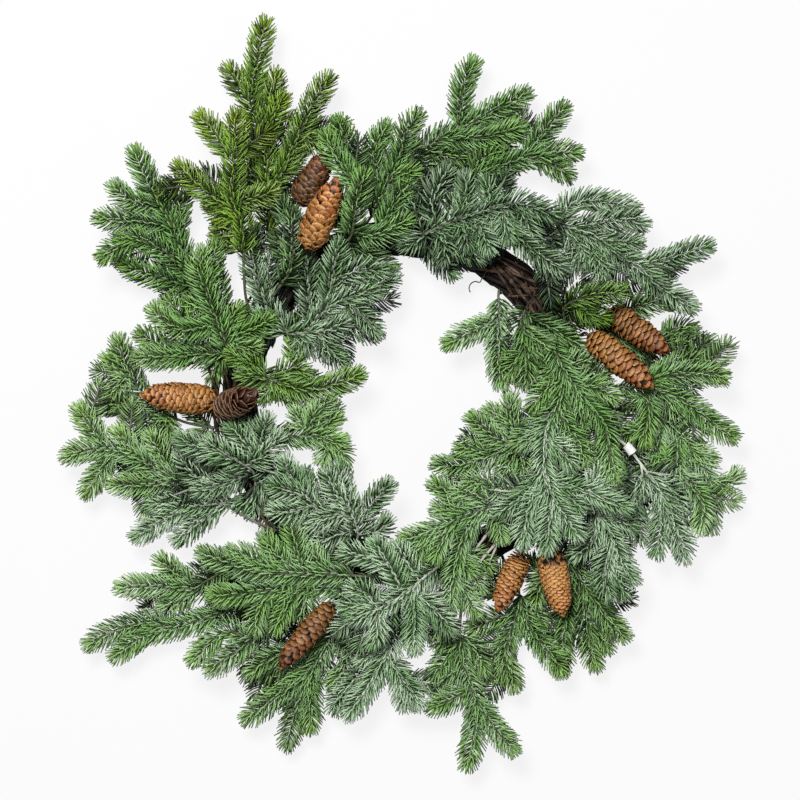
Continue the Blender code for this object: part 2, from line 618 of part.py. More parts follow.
def tube(bm, spots, radius, sides):
    """A closed tube with flat ends along the spots, by extruding its end face."""
    frames = headings(spots)
    start, heading = spots[0], frames[0]
    across = heading.orthogonal().normalized()
    face = bm.faces.new([bm.verts.new(p) for p in ring_points(start, heading, across, radius, sides)])
    first = face.verts[:]
    for spot, heading in zip(spots[1:], frames[1:]):
        across = (across - heading * across.dot(heading)).normalized()
        face = bmesh.ops.extrude_discrete_faces(bm, faces=[face])["faces"][0]
        for vert, place in zip(face.verts, ring_points(spot, heading, across, radius, sides)):
            vert.co = place
    bm.faces.new(first[::-1])
    return face


def headings(spots):
    """Direction of the path at each spot."""
    result = []
    for k in range(len(spots)):
        ahead = spots[min(k + 1, len(spots) - 1)]
        behind = spots[max(k - 1, 0)]
        result.append((ahead - behind).normalized())
    return result


def ring_points(middle, heading, across, radius, sides):
    """Corners of a round section, turning to the right-hand rule about the heading."""
    up = heading.cross(across)
    return [middle + radius * (math.cos(2 * math.pi * k / sides) * across
                               + math.sin(2 * math.pi * k / sides) * up) for k in range(sides)]


def tie_path(name):
    """Wire over the top and sides of the bundle, and the free loop on one of them."""
    angle = TIE_ANGLES[name]
    spots = [bundle_point(angle, turn, TIE_REACH) for turn in range(TIE_SWEEP[0], TIE_SWEEP[1] + 1, TIE_STEP)]
    if name == LOOP_TIE:
        end = spots[-1]
        inward = Vector((RING_MIDDLE[0] - end.x, RING_MIDDLE[1] - end.y, 0.0)).normalized()
        along = Vector((inward.y, -inward.x, 0.0))
        for turn in range(0, LOOP_SWEEP + 1, LOOP_STEP):
            swing = math.radians(turn)
            spots.append(end + inward * (LOOP_NECK + LOOP_RADIUS * (1 - math.cos(swing)))
                         + along * LOOP_RADIUS * math.sin(swing)
                         + Vector((0, 0, LOOP_RISE * turn / LOOP_SWEEP)))
    return spots


def build_ties(obstacles):
    """The wire ties."""
    for name in TIE_ANGLES:
        spots = tie_path(name)
        bm = bmesh.new()
        tube(bm, spots, WIRE_RADIUS, TIE_SIDES)
        finish_object(name, bm, "wire")
        for near, far in zip(spots, spots[1:]):
            obstacles.add(near, far, WIRE_RADIUS, WIRE_RADIUS)


def union(target, others):
    """Join solids into the target and remove them."""
    group = bpy.data.collections.new("to_join")
    bpy.context.scene.collection.children.link(group)
    for other in others:
        bpy.context.scene.collection.objects.unlink(other)
        group.objects.link(other)
    modifier = target.modifiers.new("join", "BOOLEAN")
    modifier.operand_type = "COLLECTION"
    modifier.collection = group
    modifier.operation = "UNION"
    bpy.context.view_layer.update()
    joined = bpy.data.meshes.new_from_object(target.evaluated_get(bpy.context.evaluated_depsgraph_get()))
    target.modifiers.clear()
    target.data = joined
    for other in others:
        bpy.data.objects.remove(other)
    bpy.data.collections.remove(group)


def build_cone(name, colour_name, base, tip, widest, cane_tree, obstacles):
    """A cone whose scales stand out as relief, and its stalk down to the nearest cane."""
    base, tip = Vector(base), Vector(tip)
    axis = tip - base
    heading = axis.normalized()
    across = heading.orthogonal().normalized()
    bm = bmesh.new()
    row_step = axis.length / (CONE_ROWS - 1)
    face = None
    for row in range(CONE_ROWS):
        share = row / (CONE_ROWS - 1)
        radius = cone_radius(share, widest)
        points = []
        for k in range(CONE_SIDES):
            stands_out = (row + k) % 2 == 0
            relief = SCALE_OUT if stands_out else SCALE_IN
            slide = SCALE_SLIDE * row_step if stands_out and 0 < row < CONE_ROWS - 1 else 0.0
            turn = 2 * math.pi * (k + ROW_TWIST * row) / CONE_SIDES
            up = heading.cross(across)
            side = math.cos(turn) * across + math.sin(turn) * up
            points.append(base + axis * share + heading * slide + side * radius * relief)
        if face is None:
            face = bm.faces.new([bm.verts.new(p) for p in points])
            first = face.verts[:]
            continue
        previous = face.verts[:]
        face = bmesh.ops.extrude_discrete_faces(bm, faces=[face])["faces"][0]
        for vert, place in zip(face.verts, points):
            vert.co = place
        split_scales(bm, previous, face.verts[:], row)
    base_face = bm.faces.new(first[::-1])
    bmesh.ops.poke(bm, faces=[base_face, face])
    cone = finish_object(name, bm, colour_name)
    stalk_spots = stalk_path(base, heading, cane_tree)
    stalk = bmesh.new()
    tube(stalk, stalk_spots, STALK_RADIUS, STALK_SIDES)
    union(cone, [finish_object(name + "_stalk", stalk, colour_name)])
    for near, far in zip(stalk_spots[1:], stalk_spots[2:]):
        obstacles.add(near, far, STALK_RADIUS, STALK_RADIUS)
    for row in range(CONE_ROWS - 1):
        near, far = row / (CONE_ROWS - 1), (row + 1) / (CONE_ROWS - 1)
        obstacles.add(base + axis * near, base + axis * far,
                      cone_radius(near, widest) * SCALE_OUT + CONE_GAP,
                      cone_radius(far, widest) * SCALE_OUT + CONE_GAP)


def split_scales(bm, lower, upper, row):
    """Split each quad between two rows so that each scale tip is the top of its own little pyramid."""
    for k in range(CONE_SIDES):
        near = (k + 1) % CONE_SIDES
        lower_out = (row - 1 + k) % 2 == 0
        corners = [lower[near], upper[k]] if lower_out else [lower[k], upper[near]]
        quad = next(f for f in lower[k].link_faces
                    if lower[near] in f.verts and upper[k] in f.verts and upper[near] in f.verts)
        bmesh.utils.face_split(quad, *corners)


def stalk_path(base, heading, cane_tree):
    """From inside the cone's base, out of it, and down to just above the nearest cane."""
    outside = base - heading * STALK_OUTSIDE
    seat, _, _, _ = cane_tree.find_nearest(outside)
    away = (outside - seat).normalized()
    return [base + heading * STALK_INSIDE, base - heading * STALK_NECK, outside, seat + away * SEAT_GAP]


def seat_of(start, cane_tree):
    """Where a stem's foot ends: just clear of the nearest cane."""
    spot, _, _, _ = cane_tree.find_nearest(start)
    return spot + (start - spot).normalized() * SEAT_GAP


def stations_of(twig, joins):
    """Places along a twig for its tip, its forks and the whorls of needles evenly between them."""
    fixed = [twig.length - NEEDLE_BASE / 2]
    for join in sorted(joins, reverse=True):
        if fixed[-1] - join > FORK_SPACE:
            fixed.append(max(join, FIRST_STATION))
    first = max(FIRST_STATION, twig.bare)
    if fixed[-1] - first > SHORTEST_STEP * WHORL_STEP:
        fixed.append(first)
    places = []
    for far, near in zip(fixed, fixed[1:]):
        count = 1 if near < twig.bare else max(1, round((far - near) / WHORL_STEP))
        places += [far - (far - near) * k / count for k in range(count)]
    places.append(fixed[-1])
    return places[::-1]


def grow_tube(bm, face, twig, stations, owner, obstacles, fork=None):
    """Extrude a three-sided stem along a twig; returns the section pair at each station, and the end."""
    rings = []
    reached = 0.0
    if fork is not None:
        rings.append((0.0, None))
        reached = FORK_REACH
    for place in stations:
        low, high = place - NEEDLE_BASE / 2, place + NEEDLE_BASE / 2
        extra = int((low - reached) // BARE_STEP)
        rings += [(reached + (low - reached) * (k + 1) / (extra + 1), None) for k in range(extra)]
        rings += [(low, None), (high, place)]
        reached = high
    pairs = {}
    across = None
    last = calc_middle(face)
    for place, station in rings:
        spot = twig.point(min(place, twig.length))
        heading = twig.heading(min(place, twig.length))
        if place == 0.0:
            spot, heading = fork
        if across is None:
            across = best_turn(face, last, heading)
        across = (across - heading * across.dot(heading)).normalized()
        below = face.verts[:]
        face = bmesh.ops.extrude_discrete_faces(bm, faces=[face])["faces"][0]
        for vert, corner in zip(face.verts, ring_points(spot, heading, across, twig.radius(place), 3)):
            vert.co = corner
        if place > 0.0:
            obstacles.add(last, spot, STEM_RADIUS, STEM_RADIUS, owner)
        last = spot
        if station is not None:
            pairs[station] = (below, face.verts[:])
    return pairs, face


def best_turn(face, middle, heading):
    """Direction of the next section's first corner that twists the stem's sides least."""
    corner = face.verts[0].co - middle
    across = (corner - heading * corner.dot(heading)).normalized()
    up = heading.cross(across)
    lag = Vector((0.0, 0.0))
    for k, vert in enumerate(face.verts):
        corner = vert.co - middle
        angle = math.atan2(corner.dot(up), corner.dot(across)) - 2 * math.pi * k / 3
        lag += Vector((math.cos(angle), math.sin(angle)))
    angle = math.atan2(lag.y, lag.x)
    return math.cos(angle) * across + math.sin(angle) * up


def calc_middle(face):
    """Mean of a face's corners."""
    return sum((v.co for v in face.verts), Vector()) / len(face.verts)


def side_triangles(below, above):
    """The six triangles round a short piece of stem."""
    triangles = []
    for k in range(3):
        near = (k + 1) % 3
        quad = next(f for f in below[k].link_faces
                    if below[near] in f.verts and above[k] in f.verts and above[near] in f.verts)
        other, _ = bmesh.utils.face_split(quad, below[k], above[near])
        triangles += [quad, other]
    return triangles


def grow_cores(number, twigs, obstacles, cane_tree):
    """A spray's stem with its side twigs grown out of it; returns the mesh and its places for needles."""
    family = [k for k, t in enumerate(twigs) if t.spray == number]
    bm = bmesh.new()
    starts = {}
    jobs = []
    for index in family:
        twig = twigs[index]
        children = [k for k in family if twigs[k].parent is twig]
        joins = {k: float(twig.places[twigs[k].join]) for k in children}
        stations = stations_of(twig, joins.values())
        if twig.parent is None:
            start = twig.point(0.0)
            seat = seat_of(start, cane_tree)
            heading = (start - seat).normalized()
            corners = ring_points(seat, heading, heading.orthogonal().normalized(), STEM_RADIUS, 3)
            face = bm.faces.new([bm.verts.new(p) for p in corners])
            first = face.verts[:]
            pairs, cap = grow_tube(bm, face, twig, stations, index, obstacles)
            bm.faces.new(first[::-1])
        else:
            face, fork = starts[index]
            pairs, cap = grow_tube(bm, face, twig, stations, index, obstacles, fork)
        sides = {place: side_triangles(*pair) for place, pair in pairs.items()}
        for child in children:
            place = min(sides, key=lambda p: abs(p - joins[child]))
            middle = twig.point(place)
            lead = (twigs[child].point(FORK_LEAD) - middle).normalized()
            for face in sides[place]:
                face.normal_update()
            face = max(sides[place], key=lambda f: f.normal.dot(lead))
            sides[place].remove(face)
            heading = (face.normal + lead).normalized()
            starts[child] = face, (middle + heading * FORK_REACH, heading)
        jobs.append((index, {p: f for p, f in sides.items() if p >= twig.bare}, cap))
    return bm, jobs


def grow_needles(bm, twig, index, sides, cap, obstacles, chance):
    """Raise a needle on each free triangle of a twig, where it stays clear of everything else."""
    for place, triangles in sides.items():
        whorl = round(place)
        heading = twig.heading(place)
        for face in triangles:
            face.normal_update()
            base = calc_middle(face)
            flat = (face.normal - heading * face.normal.dot(heading)).normalized()
            side = base - twig.point(place)
            side -= heading * side.dot(heading) + flat * side.dot(flat)
            out = (flat + side.normalized() * SIDE_SPREAD).normalized()
            length = NEEDLE_LENGTH * chance.uniform(*NEEDLE_CHANGE)
            lean = LEAN if twig.length - place > 2 * NEEDLE_BASE else TIP_LEAN
            for change, stretch in NEEDLE_TRIES:
                angle = lean + change
                tip = base + (out * math.sin(angle) + heading * math.cos(angle)) * length * stretch
                if raise_needle(bm, face, base, tip, index, whorl, NEEDLE_ROOT_RADIUS, obstacles):
                    break
    base = calc_middle(cap)
    raise_needle(bm, cap, base, base + twig.heading(twig.length) * NEEDLE_LENGTH * END_NEEDLE,
                 index, whorl, TWIG_RADIUS, obstacles)


def raise_needle(bm, face, base, tip, twig, whorl, radius, obstacles):
    """Raise the face to a needle's point if the needle is clear; says whether it was."""
    if tip.z < CLEARANCE or obstacles.gap(base, tip, radius, twig, whorl) < CLEARANCE:
        return False
    bmesh.ops.poke(bm, faces=[face])["verts"][0].co = tip
    obstacles.add(base, tip, radius, 0.0, twig, whorl)
    return True


def drop_crossed_needles(bm):
    """Take away the needles that still cross another part of their own spray."""
    bm.faces.ensure_lookup_table()
    tree = BVHTree.FromBMesh(bm)
    points = set()
    for a, b in tree.overlap(tree):
        near, far = bm.faces[a], bm.faces[b]
        if a < b and not set(near.verts) & set(far.verts):
            tips = [v for v in near.verts[:] + far.verts[:] if len(v.link_edges) == 3]
            points.update(tips[:1])
    bmesh.ops.dissolve_verts(bm, verts=list(points))


def build_tape(twigs, obstacles):
    """The white tape band round a straight piece of the pale stem."""
    number = next(k for k, row in enumerate(SPRAYS) if row[0] == TAPE_SPRAY)
    owner = next(k for k, t in enumerate(twigs) if t.spray == number)
    pieces = [row for row in obstacles.rows if row[8] == owner]
    row = min(pieces, key=lambda r: math.hypot((r[0] + r[3]) / 2 - TAPE_POINT[0],
                                               (r[1] + r[4]) / 2 - TAPE_POINT[1]))
    near, far = Vector(row[0:3]), Vector(row[3:6])
    middle, heading = (near + far) / 2, (far - near).normalized()
    across = heading.orthogonal().normalized()
    inner = STEM_RADIUS + SEAT_GAP
    bm = bmesh.new()
    rings = []
    for reach, half in ((inner, -0.5), (TAPE_RADIUS, -0.5), (TAPE_RADIUS, 0.5), (inner, 0.5)):
        spot = middle + heading * half * TAPE_LENGTH
        rings.append([bm.verts.new(p) for p in ring_points(spot, heading, across, reach, TAPE_SIDES)])
    for near, far in zip(rings, rings[1:] + rings[:1]):
        for k in range(TAPE_SIDES):
            after = (k + 1) % TAPE_SIDES
            bm.faces.new([near[k], near[after], far[after], far[k]])
    finish_object("stem_tape", bm, "tape")
    obstacles.add(middle - heading * TAPE_LENGTH / 2, middle + heading * TAPE_LENGTH / 2,
                  TAPE_RADIUS, TAPE_RADIUS)


def centre_part():
    """Bring the middle of the whole wreath over the origin."""
    things = [t for t in bpy.context.scene.objects if t.type == "MESH"]
    low = Vector(min(v.co[k] for t in things for v in t.data.vertices) for k in range(3))
    high = Vector(max(v.co[k] for t in things for v in t.data.vertices) for k in range(3))
    for thing in things:
        for vert in thing.data.vertices:
            vert.co.x -= (low.x + high.x) / 2
            vert.co.y -= (low.y + high.y) / 2


def cane_surface(canes):
    """Search tree of the canes' surfaces, in millimetres."""
    points = []
    triangles = []
    for cane in canes:
        offset = len(points)
        points += [v.co / MM for v in cane.data.vertices]
        triangles += [[offset + k for k in face.vertices] for face in cane.data.polygons]
    return BVHTree.FromPolygons(points, triangles)


def main():
    clear_scene()
    chance = random.Random(11)
    obstacles = Obstacles()
    canes = [build_cane(k) for k in range(CANE_COUNT)]
    cane_tree = cane_surface(canes)
    for cane in range(CANE_COUNT):
        for step in range(RING_STEPS):
            turn = 360.0 / RING_STEPS
            obstacles.add(cane_point(cane, turn * step), cane_point(cane, turn * (step + 1)),
                          CANE_RADIUS, CANE_RADIUS)
    build_ties(obstacles)
    for cone in CONES:
        build_cone(*cone, cane_tree, obstacles)
    twigs = lay_twigs(chance)
    settle_twigs(twigs)
    sprays = [grow_cores(k, twigs, obstacles, cane_tree) for k in range(len(SPRAYS))]
    build_tape(twigs, obstacles)
    for row, (bm, jobs) in zip(SPRAYS, sprays):
        for index, sides, cap in jobs:
            grow_needles(bm, twigs[index], index, sides, cap, obstacles, chance)
        drop_crossed_needles(bm)
        finish_object(row[0], bm, row[1])
    centre_part()


if __name__ == "__main__":
    main()
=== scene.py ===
"""Looks of the pine cone wreath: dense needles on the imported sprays, scaled cones and barked vine canes.

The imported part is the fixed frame. Lengths below are millimetres in the part's own working frame, as its
source has them, and one matrix takes every finished piece to the row's metres.
"""
import json
import math
import random

import bmesh
import bpy
import numpy as np
from mathutils import Matrix, Vector, noise
from mathutils.bvhtree import BVHTree
from mathutils.kdtree import KDTree

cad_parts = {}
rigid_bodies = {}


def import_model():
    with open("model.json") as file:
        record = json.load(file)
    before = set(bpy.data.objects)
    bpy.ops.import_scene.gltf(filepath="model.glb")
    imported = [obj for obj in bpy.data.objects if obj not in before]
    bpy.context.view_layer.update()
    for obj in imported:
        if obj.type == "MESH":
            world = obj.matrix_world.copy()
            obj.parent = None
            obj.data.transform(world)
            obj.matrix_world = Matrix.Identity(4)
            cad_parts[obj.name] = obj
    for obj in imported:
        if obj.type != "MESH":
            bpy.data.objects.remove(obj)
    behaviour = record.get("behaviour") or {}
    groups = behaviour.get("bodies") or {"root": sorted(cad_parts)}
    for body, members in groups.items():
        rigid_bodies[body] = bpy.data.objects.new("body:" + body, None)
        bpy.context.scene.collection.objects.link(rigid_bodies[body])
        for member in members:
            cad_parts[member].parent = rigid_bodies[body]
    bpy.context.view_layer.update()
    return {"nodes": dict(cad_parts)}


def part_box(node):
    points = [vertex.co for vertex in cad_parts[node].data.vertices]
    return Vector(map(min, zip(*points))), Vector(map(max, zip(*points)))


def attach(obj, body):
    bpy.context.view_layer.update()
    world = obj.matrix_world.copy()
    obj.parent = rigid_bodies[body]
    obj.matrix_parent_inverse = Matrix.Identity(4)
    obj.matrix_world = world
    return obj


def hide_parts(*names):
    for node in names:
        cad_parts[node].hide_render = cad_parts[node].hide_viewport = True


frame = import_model()
# the noise vectors that bend the bare stems draw their offsets from this seed
noise.seed_set(11)

MM = 0.001

# Grapevine ring
RING_MIDDLE = (5.0, -2.0)
RING_RADIUS = 166.0
CANE_COUNT = 6
CANE_RADIUS = 5.0
BUNDLE_RADIUS = 15.0
CANE_TURNS = 2
CANE_START = 30.0
CANE_SIDES = 5
FLAT_CUT = 0.3
RING_HEIGHT = BUNDLE_RADIUS + CANE_RADIUS * math.cos(math.pi / CANE_SIDES) - FLAT_CUT

# Binding wire
WIRE_RADIUS = 0.6
WIRE_SIDES = 8
WIRE_STEP = 2.0
TIE_REACH = 20.6
TIE_ANGLES = {"wire_tie_1": 58.0, "wire_tie_2": 130.0, "wire_tie_3": 178.0, "wire_tie_4": 276.0}
TIE_SWEEP = (-20, 200)
TIE_STEP = 20
LOOP_TIE = "wire_tie_1"
LOOP_RADIUS = 7.0
LOOP_NECK = 4.0
LOOP_SWEEP = 270
LOOP_STEP = 30
LOOP_RISE = 6.0

# Fir sprays
ROOT_REACH = 22.3
STEM_RADIUS = 1.7
SIDE_TWIG_RADIUS = 1.4
TWIG_TIP_RADIUS = 0.8
SEAT_GAP = 0.35
TIP_REACH = 14.0
BEAD_STEP = 5.0
BEAD_GAP = 5.2
CURVE_STEP = 0.05
HEADING_REACH = 2.0
CLIMB_LENGTH = 30.0
SIDE_RISE = (-0.08, 0.22)
FORK_LENGTH = 9.0
FORK_SPACE = 9.0
FIRST_STATION = 12.0

# Settling of the twigs clear of each other, the ring and the cones
SETTLE_ROUNDS = 140
SMOOTH_ROUNDS = 3
FLOOR_HEIGHT = 7.0
CONE_MARGIN = 3.0
CONE_LIFT = 4.0
CONE_PUSH = 0.6
SIDEWAYS = 0.4
LEAST_LIFT = 0.8
STIFF_ROOT = 12.0

# Cones and their stalks
SCALE_OUT = 1.07
STALK_RADIUS = 1.5
STALK_INSIDE = 4.0
STALK_NECK = 1.5
STALK_OUTSIDE = 5.0
STALK_SHARE = 0.97
STALK_STEP = 2.0
STALK_ROUGHNESS = 0.3
CONE_PLACES = (0.0, 0.08, 0.25, 0.55, 0.78, 0.92, 1.0)
CONE_WIDTHS = (0.50, 0.82, 1.00, 0.96, 0.78, 0.52, 0.20)

# Tape band on the pale stem at the right
TAPE_SPRAY = "spray_right_taped"
TAPE_RADIUS = 4.6
TAPE_LENGTH = 11.0
TAPED_STEM_RADIUS = 2.1
TAPE_WRAPS = 3
TAPE_STEP = 0.55
TAPE_OVERLAP = 0.12
TAPE_INSET = 0.1
TAPE_RIPPLE = 0.18
TAPE_RIPPLES = 31.0
TAPE_SIDES = 20
TAPE_ROUGHNESS = 0.10

# name, colour, base point and tip point of the axis, largest radius
CONES = [
    ("cone_top_dark", "cone_brown", (-102, 197, 36), (-70, 250, 40), 17.0),
    ("cone_top_tan", "cone_tan", (-92, 152, 66), (-62, 219, 72), 18.0),
    ("cone_left_long", "cone_red", (-186, -1, 36), (-260, 6, 42), 16.5),
    ("cone_left_open", "cone_brown", (-180, -9, 58), (-141, 6, 98), 16.0),
    ("cone_bottom_left", "cone_red", (-67, -204, 52), (-121, -268, 46), 16.0),
    ("cone_bottom_red", "cone_red", (123, -152, 42), (97, -212, 42), 14.5),
    ("cone_bottom_tan", "cone_tan", (149, -152, 52), (163, -216, 48), 16.0),
    ("cone_right_rear", "cone_red", (207, 90, 42), (269, 47, 46), 18.0),
    ("cone_right_front", "cone_tan", (188, 64, 60), (252, 12, 66), 17.5),
]

